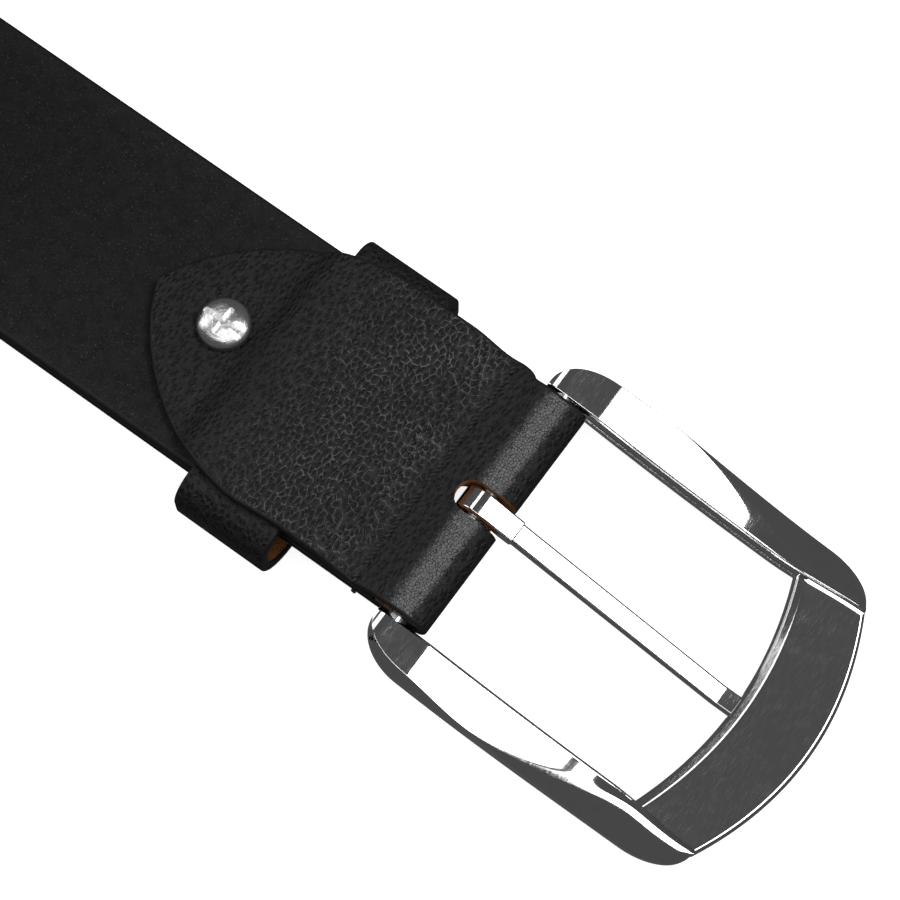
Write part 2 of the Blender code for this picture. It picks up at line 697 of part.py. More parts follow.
def rail(name, side):
    """A rail through stations that lie closer together at its two rounded ends."""
    near_end = -EAR_LENGTH
    stations = [near_end + EAR_CORNER * share for share in (0.0, 0.03, 0.1, 0.21, 0.38, 0.63, 1.0)]
    corner_start = FINGER_LENGTH - FINGER_CORNER
    middle = near_end + EAR_CORNER
    stations += [middle + (corner_start - middle) * share for share in spread(0.0, 1.0, 7)[1:]]
    rounding = (0.77, 0.53, 0.33, 0.18, 0.07, 0.02, 0.0)
    stations += [FINGER_LENGTH - FINGER_CORNER * share for share in rounding]
    return loft(name, [[(u, side * v, w) for v, w in rail_section(u)] for u in stations])


def end_bar(name):
    """The far end: a band whose two edges are arcs, lower at the back than the rails."""
    half = WINDOW_WIDTH / 2 + END_BAR_OVERLAP
    chamfer = END_BAR_CHAMFER
    rim_top = END_BAR_BACK + END_BAR_RIM_HEIGHT
    sections = []
    for v in spread(-half, half, 16):
        sag = (v / half) ** 2
        inner = WINDOW_LENGTH - END_BAR_INNER_SAG * sag
        outer = FRAME_LENGTH - END_BAR_SAG * sag
        section = [
            (inner, -FRAME_FRONT + chamfer),
            (inner, rim_top - 0.6 * chamfer),
            (inner + END_BAR_RIM / 2, rim_top),
            (inner + END_BAR_RIM, END_BAR_BACK),
            (outer - chamfer, END_BAR_BACK),
            (outer, END_BAR_BACK - chamfer),
            (outer, -FRAME_FRONT + 3 * chamfer),
            (outer - 2 * chamfer, -FRAME_FRONT),
            (inner + chamfer, -FRAME_FRONT),
        ]
        sections.append([(u, v, w + bow(u)) for u, w in section])
    return loft(name, sections)


def notch():
    """The cutter for the prong's seat. Its roof follows the frame's bow."""
    beyond = FRAME_LENGTH + NOTCH_CLEARANCE
    roof = [(u, bow(u) - FRAME_FRONT + NOTCH_DEPTH) for u in spread(PRONG_BEND, beyond, 5)]
    below = -4 * FRAME_FRONT
    outline = roof + [(beyond, below), (PRONG_BEND, below)]
    return prism("notch", outline, NOTCH_WIDTH, lambda a, b, c: (a, c, b))


def build_frame(axis, chrome, steel):
    frame = add_object("buckle_frame", end_bar("buckle_frame"), finish=chrome, parent=axis)
    for side in (-1, 1):
        joined = as_cutter(add_object(f"rail_{side}", rail("rail", side), cutters, parent=axis))
        union = frame.modifiers.new(f"join_{side}", "BOOLEAN")
        union.operation = "UNION"
        union.object = joined
    middle = (0.0, 0.0, 0.0)
    bar_length = BUCKLE_WIDTH - 2 * BAR_COVER
    hole = cylinder("bar_hole", 2 * BAR_HOLE_RADIUS, bar_length + 2 * GAP, middle, across=True)
    cut(frame, [hole, notch()])
    bar = cylinder("buckle_bar", BAR_DIAMETER, bar_length, middle, across=True)
    add_object("buckle_bar", bar, finish=steel, parent=axis)


def build_prong(axis, chrome):
    """A curl round the bar, and a shank that runs to the notch in the end bar's front."""
    middle = (0.0, 0.0, 0.0)
    outer = PRONG_CURL_RADIUS
    curl = cylinder("buckle_prong", 2 * outer, PRONG_CURL_WIDTH, middle, 32, across=True)
    prong = add_object("buckle_prong", curl, finish=chrome, parent=axis)
    before_step = PRONG_STEP - PRONG_STEP_SLOPE
    step = PRONG_HEEL_STEP
    stations = [
        (0.5 * outer, PRONG_CURL_WIDTH, 0.93 * outer, 1.5 * PRONG_THICKNESS),
        (before_step, PRONG_WIDTH + step, PRONG_HEEL_BACK + step, PRONG_THICKNESS + step),
        (PRONG_STEP, PRONG_WIDTH, PRONG_HEEL_BACK, PRONG_THICKNESS),
        (PRONG_BEND, PRONG_WIDTH, prong_tip_back(PRONG_BEND), PRONG_TIP_THICKNESS),
    ]
    tip = PRONG_LENGTH - PRONG_BEND
    for along, share in ((0.56, 1.0), (0.86, 0.9), (0.96, 0.6), (1.0, 0.3)):
        u = PRONG_BEND + tip * along
        stations.append((u, PRONG_WIDTH * share, prong_tip_back(u), PRONG_TIP_THICKNESS))
    sections = []
    for u, width, back, thickness in stations:
        half = width / 2
        round_off = 0.12 * width
        front = back - thickness
        sections.append(
            [
                (u, -half, back - round_off),
                (u, -half + round_off, back),
                (u, half - round_off, back),
                (u, half, back - round_off),
                (u, half, front + round_off),
                (u, half - round_off, front),
                (u, -half + round_off, front),
                (u, -half, front + round_off),
            ]
        )
    shank = as_cutter(add_object("shank", loft("shank", sections), cutters, parent=axis))
    union = prong.modifiers.new("join_shank", "BOOLEAN")
    union.operation = "UNION"
    union.object = shank
    cut(prong, [cylinder("eye", 2 * BAR_HOLE_RADIUS, 2 * PRONG_CURL_WIDTH, middle, across=True)])


def centre_on_floor(root):
    """Moves the belt along X, so that its box is centred on the origin."""
    bpy.context.view_layer.update()
    graph = bpy.context.evaluated_depsgraph_get()
    ends = []
    for obj in parts.objects:
        if obj.type != "EMPTY":
            evaluated = obj.evaluated_get(graph)
            mesh = evaluated.to_mesh()
            ends += [(obj.matrix_world @ vertex.co).x for vertex in mesh.vertices]
            evaluated.to_mesh_clear()
    root.location.x = -(min(ends) + max(ends)) / 2


def main():
    clear_scene()
    leather = material("black_grain_leather", (0.012, 0.012, 0.013), 0.5)
    lining = material("black_split_lining", (0.018, 0.018, 0.019), 0.85)
    board = material("filler_board", (0.16, 0.1, 0.06), 0.9)
    thread = material("black_thread", (0.015, 0.015, 0.016), 0.7)
    chrome = material("polished_chrome", (0.55, 0.55, 0.56), 0.08, 1.0)
    steel = material("plated_steel", (0.6, 0.6, 0.6), 0.25, 1.0)

    root = bpy.data.objects.new("belt_origin", None)
    parts.objects.link(root)
    bar_axis = bpy.data.objects.new("bar_axis", None)
    parts.objects.link(bar_axis)
    bar_axis.parent = root
    bar_axis.location = (0.0, 0.0, BAR_HEIGHT)
    bar_axis.rotation_euler = (0.0, resting_pitch(), 0.0)

    build_strap(root, leather, board, lining)
    build_threads(root, thread)
    build_screw(root, chrome)
    build_loop(root, leather, steel)
    build_frame(bar_axis, chrome, steel)
    build_prong(bar_axis, chrome)
    centre_on_floor(root)


main()
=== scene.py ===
"""The looks of a black leather belt with a chrome prong buckle, lying face down.

Lengths are in millimetres until a mesh is made. On the strap a point is (s, y, inward): s runs
along the route from 0 under the bar to the tip, below 0 round the fold and along the flap, and
inward goes from the grain face to the lining. On the buckle a point is (u, v, w): u from the bar
to the far end, v across, w towards the belt's back.
"""

import json
import math

import bmesh
import bpy
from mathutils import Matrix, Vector, noise


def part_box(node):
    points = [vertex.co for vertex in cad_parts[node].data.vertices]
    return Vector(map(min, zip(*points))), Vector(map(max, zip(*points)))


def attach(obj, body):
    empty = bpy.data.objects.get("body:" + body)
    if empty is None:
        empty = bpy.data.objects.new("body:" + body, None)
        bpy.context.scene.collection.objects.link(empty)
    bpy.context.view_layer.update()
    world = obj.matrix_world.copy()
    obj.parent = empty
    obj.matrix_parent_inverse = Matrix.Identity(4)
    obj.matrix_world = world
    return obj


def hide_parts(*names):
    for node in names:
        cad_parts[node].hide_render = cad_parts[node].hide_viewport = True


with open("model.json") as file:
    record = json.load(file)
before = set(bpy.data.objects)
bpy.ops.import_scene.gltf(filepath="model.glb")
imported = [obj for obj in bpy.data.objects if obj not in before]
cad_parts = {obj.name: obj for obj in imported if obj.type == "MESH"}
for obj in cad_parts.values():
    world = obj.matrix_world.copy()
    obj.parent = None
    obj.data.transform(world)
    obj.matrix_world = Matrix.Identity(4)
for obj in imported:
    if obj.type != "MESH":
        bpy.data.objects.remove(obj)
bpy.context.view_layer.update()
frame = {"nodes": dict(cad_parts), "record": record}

MM = 0.001
JOINTS = {joint["name"]: joint for joint in frame["record"]["behaviour"]["joints"]}
BAR = Vector(JOINTS["buckle_hinge"]["pos_m"]) / MM
LOOP_LOW, LOOP_HIGH = (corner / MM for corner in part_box("keeper_loop"))
SCREW_LOW, SCREW_HIGH = (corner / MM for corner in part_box("screw_male"))
FRAME_LOW, FRAME_HIGH = (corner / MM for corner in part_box("buckle_frame"))

# Strap.
GAP = 0.3
STRAP_WIDTH = 38.6
BELT_LENGTH = 1100.0
FACE_THICKNESS = 1.5
STRAP_THICKNESS = 3.9
TIP_TAPER = 26.0
FOLD_WIDTH = 38.6
FLAP_WIDTH = 40.4
FLAP_LENGTH = 56.4
NOSE_TAPER = 30.0
NOSE_POWER = 0.73
LINING_START = 4.6
SLOT_WIDTH = 4.9
SLOT_BACK = 3.9
SLOT_FRONT = 5.4
SIZE_HOLES = 5
SIZE_HOLE_DIAMETER = 4.2
SIZE_HOLE_PITCH = 25.0
SIZE_HOLE_FROM_TIP = 90.0
STITCH_FROM_BAR = 7.8
STITCH_PITCH = 4.9
STITCH_HOLES = 8
THREAD_DIAMETER = 0.8
THREAD_TWIST = 1.5
THREAD_DIP = 1.3

# Keeper loop.
LOOP_THICKNESS = 1.7
LOOP_WIDTH = LOOP_HIGH.x - LOOP_LOW.x
LOOP_FROM_BAR = BAR.x - (LOOP_HIGH.x + LOOP_LOW.x) / 2
LOOP_SPACE = 6.3
LOOP_PLAY_NEAR = 5.2
LOOP_PLAY_FAR = 0.6
LOOP_SHIFT = 0.57
LOOP_SKEW = 0.009
LOOP_TUCK = 0.02
LOOP_EASE = 1.01
LOOP_GRAIN_PLACE = 40.0
LOOP_CORNER = 0.45
LOOP_STEPS_ACROSS = 16

# Screw.
SCREW_FROM_BAR = BAR.x - (SCREW_HIGH.x + SCREW_LOW.x) / 2
SCREW_HEAD_DIAMETER = SCREW_HIGH.x - SCREW_LOW.x
SCREW_RIM = 0.45
SCREW_SEAT_GAP = 0.02
SCREW_SLOT_WIDTH = 0.85
SCREW_SLOT_DEPTH = 1.0
SCREW_SLOT_LENGTH = 6.9
SCREW_CROSS_LENGTH = 4.4

# Buckle and prong.
BAR_DIAMETER = 3.0
BAR_HOLE_GAP = 0.05
BAR_SEAT = 2.6
WINDOW_WIDTH = 39.6
WINDOW_LENGTH = 45.1
BUCKLE_WIDTH = FRAME_HIGH.y - FRAME_LOW.y
BUCKLE_FAR_WIDTH = BUCKLE_WIDTH - 1.0
END_BAR_WIDTH = 12.3
END_BAR_SAG = 5.2
END_BAR_BACK = 0.3
END_BAR_RIM = 1.1
END_BAR_OVERLAP = 1.4
FRAME_FRONT = 2.6
RAIL_BACK = 2.4
RAIL_OUTER_DROP = 2.3
FRAME_BOW = 2.0
EAR_LENGTH = 2.9
EAR_ROUNDING = 8.0
EAR_NARROWING = 0.82
FINGER_LENGTH = 51.9
FINGER_ROUNDING = 8.5
FINGER_NARROWING = 0.9
FINGER_FLARE = 0.9
FINGER_FLARE_START = 8.0
RIB_HEIGHT = 0.22
NOTCH_DEPTH = 1.0
NOTCH_WIDTH = 4.4
NOTCH_CUTTER_FRONT = -12.0
PRONG_WIDTH = 3.2
PRONG_CURL_WIDTH = 3.8
PRONG_CURL_WALL = 1.4
PRONG_THICKNESS = 2.0
PRONG_TIP_THICKNESS = 1.5
PRONG_LENGTH = 54.5
PRONG_STEP = 6.4
PRONG_HEEL_BACK = 2.0
PRONG_HEEL_SWELL = 0.4
PRONG_TIP_ROUND = 1.8
FRAME_LENGTH = WINDOW_LENGTH + END_BAR_WIDTH
PRONG_BEND = WINDOW_LENGTH - 3.0

# Route.
FLAT_LENGTH = 101.0
DIP_LENGTH = 50.0
ROLL_INNER_RADIUS = 14.0
ROLL_TURN_GAP = 0.6
ROLL_STEP = math.radians(5.0)
STRAP_FRONT = LOOP_THICKNESS + LOOP_SPACE
STRAP_BACK = STRAP_FRONT + STRAP_THICKNESS
FOLD_RADIUS = BAR_DIAMETER / 2 + GAP + FACE_THICKNESS
FOLD_LENGTH = math.pi * FOLD_RADIUS
# Where the painted highlight round the fold comes in and where it goes, along s.
FOLD_HIGHLIGHT_START = (-FOLD_LENGTH - 2.6, -FOLD_LENGTH - 0.4)
FOLD_HIGHLIGHT_END = (-FOLD_LENGTH + 2.2, -FOLD_LENGTH + 1.4)
# Where along the flap the ridges carry their strongest painted highlight: it rises over the first
# pair and falls over the second, going from the nose towards the bar.
RIDGE_HIGHLIGHT_START = (-FOLD_LENGTH - 38.0, -FOLD_LENGTH - 20.0)
RIDGE_HIGHLIGHT_END = (-FOLD_LENGTH - 6.5, -FOLD_LENGTH - 11.0)
FLAP_ON_STRAP = STRAP_BACK + GAP + FACE_THICKNESS
FLAP_ON_LOOP = FLAP_ON_STRAP + LOOP_THICKNESS + GAP
ROLL_RATE = (STRAP_THICKNESS + ROLL_TURN_GAP) / (2 * math.pi)
ROLL_START = FLAT_LENGTH + DIP_LENGTH
ROLL_RADIUS = math.sqrt(ROLL_INNER_RADIUS**2 + 2 * ROLL_RATE * (BELT_LENGTH - ROLL_START))

# The leather's relief, and how its layers are rounded and divided.
FOLD_BULGE = 1.2
STITCH_PULL = 0.16
HOLE_PULL = 0.2
SCREW_PRESS = 0.25
RIM_ROUNDING = 0.12
FACE_CORNER = 0.5
BACKING_CORNER = 0.75
FACE_STEPS_ACROSS = 72
BACKING_STEPS_ACROSS = 40


# A layer's three finishes, in the order of its materials.
FIRST_SIDE, EDGE, SECOND_SIDE = range(3)


# Helpers.


def smoothstep(value, start, end):
    share = min(max((value - start) / (end - start), 0.0), 1.0)
    return share * share * (3 - 2 * share)


def bump(value, centre, width):
    """A smooth hill of height 1 at the centre, down to almost 0 at the width."""
    return math.exp(-((value - centre) / (0.5 * width)) ** 2)


def spread(start, end, count):
    return [start + (end - start) * index / count for index in range(count + 1)]


def waviness(x, y, size, seed=0.0):
    """Smooth noise from -1 to 1 with hills of about the given size."""
    return noise.noise(Vector((x / size, y / size, seed)))


def mesh_object(name, bm, materials, sharp=35.0):
    """A closed mesh in millimetres to an object in metres."""
    bmesh.ops.recalc_face_normals(bm, faces=bm.faces)
    bmesh.ops.scale(bm, vec=(MM, MM, MM), verts=bm.verts)
    mesh = bpy.data.meshes.new(name)
    bm.to_mesh(mesh)
    bm.free()
    obj = bpy.data.objects.new(name, mesh)
    bpy.context.scene.collection.objects.link(obj)
    for material in materials:
        mesh.materials.append(material)
    mesh.shade_smooth()
    mesh.set_sharp_from_angle(angle=math.radians(sharp))
    return obj


def loft(bm, sections, finishes=None):
    """Skins rings of equal length, with an end cap on the first and the last."""
    rings = [[bm.verts.new(point) for point in section] for section in sections]
    count = len(rings[0])
    for ring, following in zip(rings, rings[1:]):
        for index in range(count):
            beside = (index + 1) % count
            face = bm.faces.new((ring[index], ring[beside], following[beside], following[index]))
            if finishes:
                face.material_index = finishes[index]
    bm.faces.new(rings[0])
    bm.faces.new(list(reversed(rings[-1])))
    return rings


def layer_ring(half, low, high, corner, depth, across):
    """A layer's section with rounded corners, as (side, level) points and each face's finish.
    low and high are the levels of its two sides, corner and depth a corner's reach in each."""
    points = []
    finishes = []
    turn = spread(0.0, math.pi / 2, 4)

    def add(side, level, finish):
        points.append((side, level))
        finishes.append(finish)

    for side in spread(-half + corner, half - corner, across)[:-1]:
        add(side, low, FIRST_SIDE)
    for angle in turn:
        add(half - corner + corner * math.sin(angle), low + depth * (1 - math.cos(angle)), EDGE)
    for angle in turn[:-1]:
        add(half - corner + corner * math.cos(angle), high - depth * (1 - math.sin(angle)), EDGE)
    for side in spread(half - corner, -half + corner, across)[:-1]:
        add(side, high, SECOND_SIDE)
    for angle in turn:
        add(-half + corner - corner * math.sin(angle), high - depth * (1 - math.cos(angle)), EDGE)
    for angle in turn[:-1]:
        add(-half + corner - corner * math.cos(angle), low + depth * (1 - math.sin(angle)), EDGE)
    return points, finishes


def rounded(outline, radii, steps=3, hold=0.03):
    """An outline with each corner replaced by an arc. radii holds one reach for each corner.
    A point just outside each arc keeps the faces beside it flat when they are shaded."""
    points = []
    count = len(outline)
    for index in range(count):
        corner = Vector(outline[index])
        before = Vector(outline[index - 1]) - corner
        after = Vector(outline[(index + 1) % count]) - corner
        reach = min(radii[index], 0.45 * before.length, 0.45 * after.length)
        start = corner + before.normalized() * reach
        end = corner + after.normalized() * reach
        points.append(tuple(start + before.normalized() * min(hold, 0.04 * before.length)))
        for share in spread(0.0, 1.0, steps):
            first = start.lerp(corner, share)
            second = corner.lerp(end, share)
            points.append(tuple(first.lerp(second, share)))
        points.append(tuple(end + after.normalized() * min(hold, 0.04 * after.length)))
    return points


def boolean(obj, other, operation, keep_material=False):
    modifier = obj.modifiers.new(operation.lower(), "BOOLEAN")
    modifier.operation = operation
    modifier.object = other
    if keep_material:
        modifier.material_mode = "TRANSFER"
    bpy.context.view_layer.update()
    graph = bpy.context.evaluated_depsgraph_get()
    mesh = bpy.data.meshes.new_from_object(obj.evaluated_get(graph))
    obj.modifiers.clear()
    obj.data = mesh
    bpy.data.objects.remove(other, do_unlink=True)
    return obj


def prism(name, outline, depth, axes, materials):
    """A flat outline, pushed to both sides by half its depth. axes(a, b, c) places its points."""
    bm = bmesh.new()
    loft(bm, [[axes(a, b, c) for a, b in outline] for c in (-depth / 2, depth / 2)])
    return mesh_object(name, bm, materials)


# The strap's route.


def flap_height(from_bar):
    loop_near = LOOP_FROM_BAR - LOOP_WIDTH / 2
    loop_far = LOOP_FROM_BAR + LOOP_WIDTH / 2
    height = BAR.z + FOLD_RADIUS
    height += (FLAP_ON_STRAP - height) * smoothstep(from_bar, 1.0, STITCH_FROM_BAR - 1.5)
    rise = smoothstep(from_bar, STITCH_FROM_BAR + 1.2, loop_near - LOOP_PLAY_NEAR)
    fall = smoothstep(from_bar, loop_far + LOOP_PLAY_FAR, SCREW_FROM_BAR - SCREW_HEAD_DIAMETER / 2)
    return height + (FLAP_ON_LOOP - FLAP_ON_STRAP) * rise * (1 - fall)


def dip_height(s):
    share = (s - FLAT_LENGTH) / DIP_LENGTH
    return STRAP_FRONT * (1 + math.cos(math.pi * share)) / 2


def roll_angle(s):
    along = s - ROLL_START
    return (ROLL_RADIUS - math.sqrt(ROLL_RADIUS**2 - 2 * ROLL_RATE * along)) / ROLL_RATE


def on_strap(s, y, inward):
    if s <= -FOLD_LENGTH:
        from_bar = -s - FOLD_LENGTH
        return Vector((BAR.x - from_bar, y, flap_height(from_bar) - inward))
    if s < 0:
        angle = -s / FOLD_RADIUS
        radius = FOLD_RADIUS - inward
        return Vector((BAR.x + radius * math.sin(angle), y, BAR.z - radius * math.cos(angle)))
    if s <= FLAT_LENGTH:
        return Vector((BAR.x - s, y, STRAP_FRONT + inward))
    if s <= ROLL_START:
        step = 0.1
        slope = (dip_height(s + step) - dip_height(s - step)) / (2 * step)
        length = math.hypot(1.0, slope)
        return Vector((BAR.x - s + inward * slope / length, y, dip_height(s) + inward / length))
    angle = roll_angle(s)
    radius = ROLL_RADIUS - ROLL_RATE * angle - inward
    x = BAR.x - ROLL_START - radius * math.sin(angle)
    return Vector((x, y, ROLL_RADIUS - radius * math.cos(angle)))


def on_flap(from_bar):
    return -FOLD_LENGTH - from_bar


def nose_share(from_end, taper):
    share = min(max(from_end / taper, 0.0), 1.0)
    return max((1 - (1 - share) ** 2) ** NOSE_POWER, 0.02)


def half_width(s):
    if s < 0:
        from_bar = max(-s - FOLD_LENGTH, 0.0)
        width = FOLD_WIDTH + (FLAP_WIDTH - FOLD_WIDTH) * smoothstep(from_bar, 4.2, 8.6)
        return width / 2 * nose_share(FLAP_LENGTH - from_bar, NOSE_TAPER)
    width = FOLD_WIDTH + (STRAP_WIDTH - FOLD_WIDTH) * smoothstep(s, 0.0, 20.0)
    return width / 2 * nose_share(BELT_LENGTH - s, TIP_TAPER)


def stitch_positions():
    first = -STITCH_PITCH * (STITCH_HOLES - 1) / 2
    return [first + STITCH_PITCH * index for index in range(STITCH_HOLES)]


# Materials.


class Nodes:
    """Short calls for building one material's nodes."""

    def __init__(self, name):
        self.material = bpy.data.materials.new(name)
        self.material.use_nodes = True
        self.tree = self.material.node_tree
        self.shader = self.tree.nodes["Principled BSDF"]

    def set(self, **values):
        for socket, value in values.items():
            self.shader.inputs[socket.replace("_", " ")].default_value = value

    def link(self, output, socket):
        self.tree.links.new(output, self.shader.inputs[socket])

    def new(self, kind, inputs=(), **settings):
        node = self.tree.nodes.new(kind)
        for key, value in settings.items():
            setattr(node, key, value)
        for socket, value in dict(inputs).items():
            if hasattr(value, "is_output"):
                self.tree.links.new(value, node.inputs[socket])
            else:
                node.inputs[socket].default_value = value
        return node

    def place(self):
        """Millimetres along and across the unrolled leather, from the meshes' attribute."""
        return self.new("ShaderNodeAttribute", attribute_name="flat").outputs["Vector"]

    def object_place(self):
        """Millimetres in the object's own space."""
        return self.vector("SCALE", self.new("ShaderNodeTexCoord").outputs["Object"], Scale=1 / MM)

    def vector(self, operation, first, second=None, **inputs):
        """A vector from one piece of vector arithmetic."""
        inputs[0] = first
        if second is not None:
            inputs[1] = second
        return self.new("ShaderNodeVectorMath", inputs, operation=operation).outputs["Vector"]

    def noise(self, place, scale, detail=2.0, roughness=0.5):
        inputs = {"Vector": place, "Scale": scale, "Detail": detail, "Roughness": roughness}
        return self.new("ShaderNodeTexNoise", inputs).outputs["Fac"]

    def warp(self, place, scale, amount):
        """The place, pushed about by noise, so that no pattern runs straight."""
        inputs = {"Vector": place, "Scale": scale, "Detail": 2.0}
        colour = self.new("ShaderNodeTexNoise", inputs).outputs["Color"]
        centred = self.vector("SUBTRACT", colour, (0.5, 0.5, 0.5))
        return self.vector("ADD", place, self.vector("SCALE", centred, Scale=amount))

    def stretch(self, place, scale=(1.0, 1.0, 1.0), turn=0.0):
        inputs = {"Vector": place, "Scale": scale, "Rotation": (0.0, 0.0, math.radians(turn))}
        return self.new("ShaderNodeMapping", inputs).outputs["Vector"]

    def cells(self, place, scale, feature="DISTANCE_TO_EDGE"):
        settings = {"feature": feature, "voronoi_dimensions": "2D"}
        inputs = {"Vector": place, "Scale": scale}
        return self.new("ShaderNodeTexVoronoi", inputs, **settings).outputs["Distance"]

    def ramp(self, value, low, high, start=0.0, end=1.0):
        """The value's way from low to high, eased, turned into start to end."""
        inputs = {"Value": value, "From Min": low, "From Max": high, "To Min": start, "To Max": end}
        node = self.new("ShaderNodeMapRange", inputs, interpolation_type="SMOOTHSTEP")
        return node.outputs["Result"]

    def math(self, operation, first, second=0.0):
        return self.new("ShaderNodeMath", {0: first, 1: second}, operation=operation).outputs[0]

    def mix(self, share, first, second):
        inputs = {"Factor": share, "A": first, "B": second}
        node = self.new("ShaderNodeMix", data_type="RGBA")
        for socket in node.inputs:
            if socket.name in inputs and socket.type in ("RGBA", "VALUE") and socket.enabled:
                value = inputs[socket.name]
                if hasattr(value, "is_output"):
                    self.tree.links.new(value, socket)
                else:
                    socket.default_value = value
        return next(output for output in node.outputs if output.type == "RGBA")

    def bump(self, height, distance, strength=1.0):
        inputs = {"Height": height, "Distance": distance * MM, "Strength": strength}
        return self.new("ShaderNodeBump", inputs).outputs["Normal"]


def grey(value, tint=1.0):
    return (value, value, value * tint, 1.0)


def grain_leather(name):
    """Black leather with a pressed grain: small pits, painted darker as shade, in a network of fine
    ridges, which run mostly across the strap. The ridges carry a painted highlight, strongest
    between the stitches and the loop. Round the fold it is pulled taut and finely cracked, with
    a painted highlight in pale grey between the cracks."""
    n = Nodes(name)
    place = n.place()
    wavy = n.warp(place, 0.5, 1.0)
    long_cells = n.stretch(wavy, (1.35, 0.8, 1.0), turn=8.0)
    pits = n.ramp(n.cells(long_cells, 0.98, "F1"), 0.1, 0.42)
    edges = n.cells(long_cells, 0.98)
    ridges = n.ramp(edges, 0.14, 0.0)
    broken = n.ramp(n.noise(place, 1.3, 3.0, 0.7), 0.38, 0.62)
    fibre = n.noise(n.stretch(wavy, (2.2, 0.8, 1.0)), 2.2, 4.0, 0.65)
    swell = n.noise(place, 0.11, 2.0)
    along = n.new("ShaderNodeSeparateXYZ", {"Vector": place}).outputs["X"]
    # How strong the painted highlight on the ridges is: most between the stitches and the loop,
    # patchy with the swell, faint everywhere else.
    rise = n.ramp(along, *RIDGE_HIGHLIGHT_START)
    highlight_zone = n.math("MULTIPLY", rise, n.ramp(along, *RIDGE_HIGHLIGHT_END))
    strength = n.math("MULTIPLY", highlight_zone, n.ramp(swell, 0.3, 0.7, 0.5, 1.0))
    strength = n.math("ADD", 0.1, strength)

    # The band round the fold that gets the painted highlight, with a ragged edge.
    band = n.math("ADD", along, n.math("MULTIPLY", n.math("SUBTRACT", fibre, 0.5), 3.0))
    fold = n.math("MULTIPLY", n.ramp(band, *FOLD_HIGHLIGHT_START), n.ramp(band, *FOLD_HIGHLIGHT_END))
    crazed = n.stretch(n.warp(place, 1.2, 0.8), (1.2, 1.5, 1.0))
    cracks = n.ramp(n.cells(crazed, 1.7), 0.03, 0.16)

    height = n.math("ADD", n.math("MULTIPLY", pits, 0.8), n.math("MULTIPLY", ridges, 0.5))
    height = n.math("ADD", height, n.math("MULTIPLY", fibre, 0.45))
    n.link(n.bump(height, 0.16, 0.8), "Normal")

    # Painted shade: the pits are darkened, with a random variation from the fibre noise on top.
    pit_shade_and_tone = n.math("MULTIPLY", pits, n.ramp(fibre, 0.2, 0.7, 0.6, 1.0))
    skin = n.mix(pit_shade_and_tone, grey(0.0015, 1.05), grey(0.0095, 1.03))
    # Painted highlight: the ridges are lightened towards pale grey.
    ridge_highlight = n.math("MULTIPLY", n.math("MULTIPLY", ridges, broken), strength)
    skin = n.mix(ridge_highlight, skin, grey(0.13, 1.03))
    # Painted highlight: pale grey on the fold's curve, broken up by the dark cracks.
    fold_highlight = n.math("MULTIPLY", fold, cracks)
    fold_highlight = n.math("MULTIPLY", fold_highlight, n.ramp(fibre, 0.25, 0.65, 0.45, 1.0))
    n.link(n.mix(fold_highlight, skin, grey(0.2, 1.03)), "Base Color")
    n.link(n.ramp(swell, 0.35, 0.75, 0.62, 0.5), "Roughness")
    n.set(Specular_IOR_Level=0.28)
    return n.material


def painted_edge(name):
    """Edge paint: smooth, thick, a little uneven."""
    n = Nodes(name)
    place = n.object_place()
    fine = n.math("MULTIPLY", n.noise(place, 5.0, 2.0), 0.2)
    n.link(n.bump(n.math("ADD", n.noise(place, 0.8, 3.0), fine), 0.12, 0.8), "Normal")
    n.link(n.mix(n.noise(place, 1.5, 3.0), grey(0.004), grey(0.011)), "Base Color")
    n.link(n.ramp(n.noise(place, 3.0, 2.0), 0.3, 0.7, 0.5, 0.7), "Roughness")
    n.set(Specular_IOR_Level=0.3)
    return n.material


def split_lining(name):
    """The matt coated back: very fine specks, and a paler band along each edge, which is a
    painted highlight where the edge rounds over.
    """
    n = Nodes(name)
    place = n.place()
    grit = n.noise(place, 3.4, 2.0, 0.6)
    patches = n.ramp(n.noise(place, 0.25, 3.0), 0.35, 0.65, 0.45, 1.0)
    light = n.math("MULTIPLY", n.ramp(grit, 0.56, 0.78), patches)
    dark = n.ramp(n.noise(place, 2.4, 2.0, 0.6), 0.46, 0.3)
    across = n.new("ShaderNodeSeparateXYZ", {"Vector": place}).outputs["Y"]
    # Painted highlight: a paler band along each edge, where the rounded edge would catch the light.
    edge_highlight = n.ramp(n.math("ABSOLUTE", across), STRAP_WIDTH / 2 - 4.0, STRAP_WIDTH / 2 - 1.0)
    ground = n.mix(edge_highlight, grey(0.007, 1.05), grey(0.0095, 1.04))
    ground = n.mix(dark, ground, grey(0.003, 1.05))
    n.link(n.mix(light, ground, grey(0.055, 1.03)), "Base Color")
    n.link(n.bump(n.math("ADD", n.noise(place, 2.6, 4.0, 0.65), grit), 0.05, 0.6), "Normal")
    n.link(n.ramp(n.noise(place, 0.5, 2.0), 0.3, 0.7, 0.7, 0.85), "Roughness")
    n.set(Specular_IOR_Level=0.25)
    return n.material


def raw_leather(name):
    """Undyed cut leather: tan fibres with darker streaks."""
    n = Nodes(name)
    place = n.object_place()
    fibres = n.noise(n.stretch(place, (1.0, 1.0, 3.0)), 3.0, 4.0, 0.7)
    dark_tan = (0.16, 0.06, 0.022, 1.0)
    light_tan = (0.5, 0.2, 0.07, 1.0)
    n.link(n.mix(n.ramp(fibres, 0.3, 0.7), dark_tan, light_tan), "Base Color")
    n.link(n.bump(fibres, 0.2, 0.8), "Normal")
    n.link(n.ramp(fibres, 0.2, 0.8, 0.8, 0.95), "Roughness")
    n.set(Specular_IOR_Level=0.2)
    return n.material


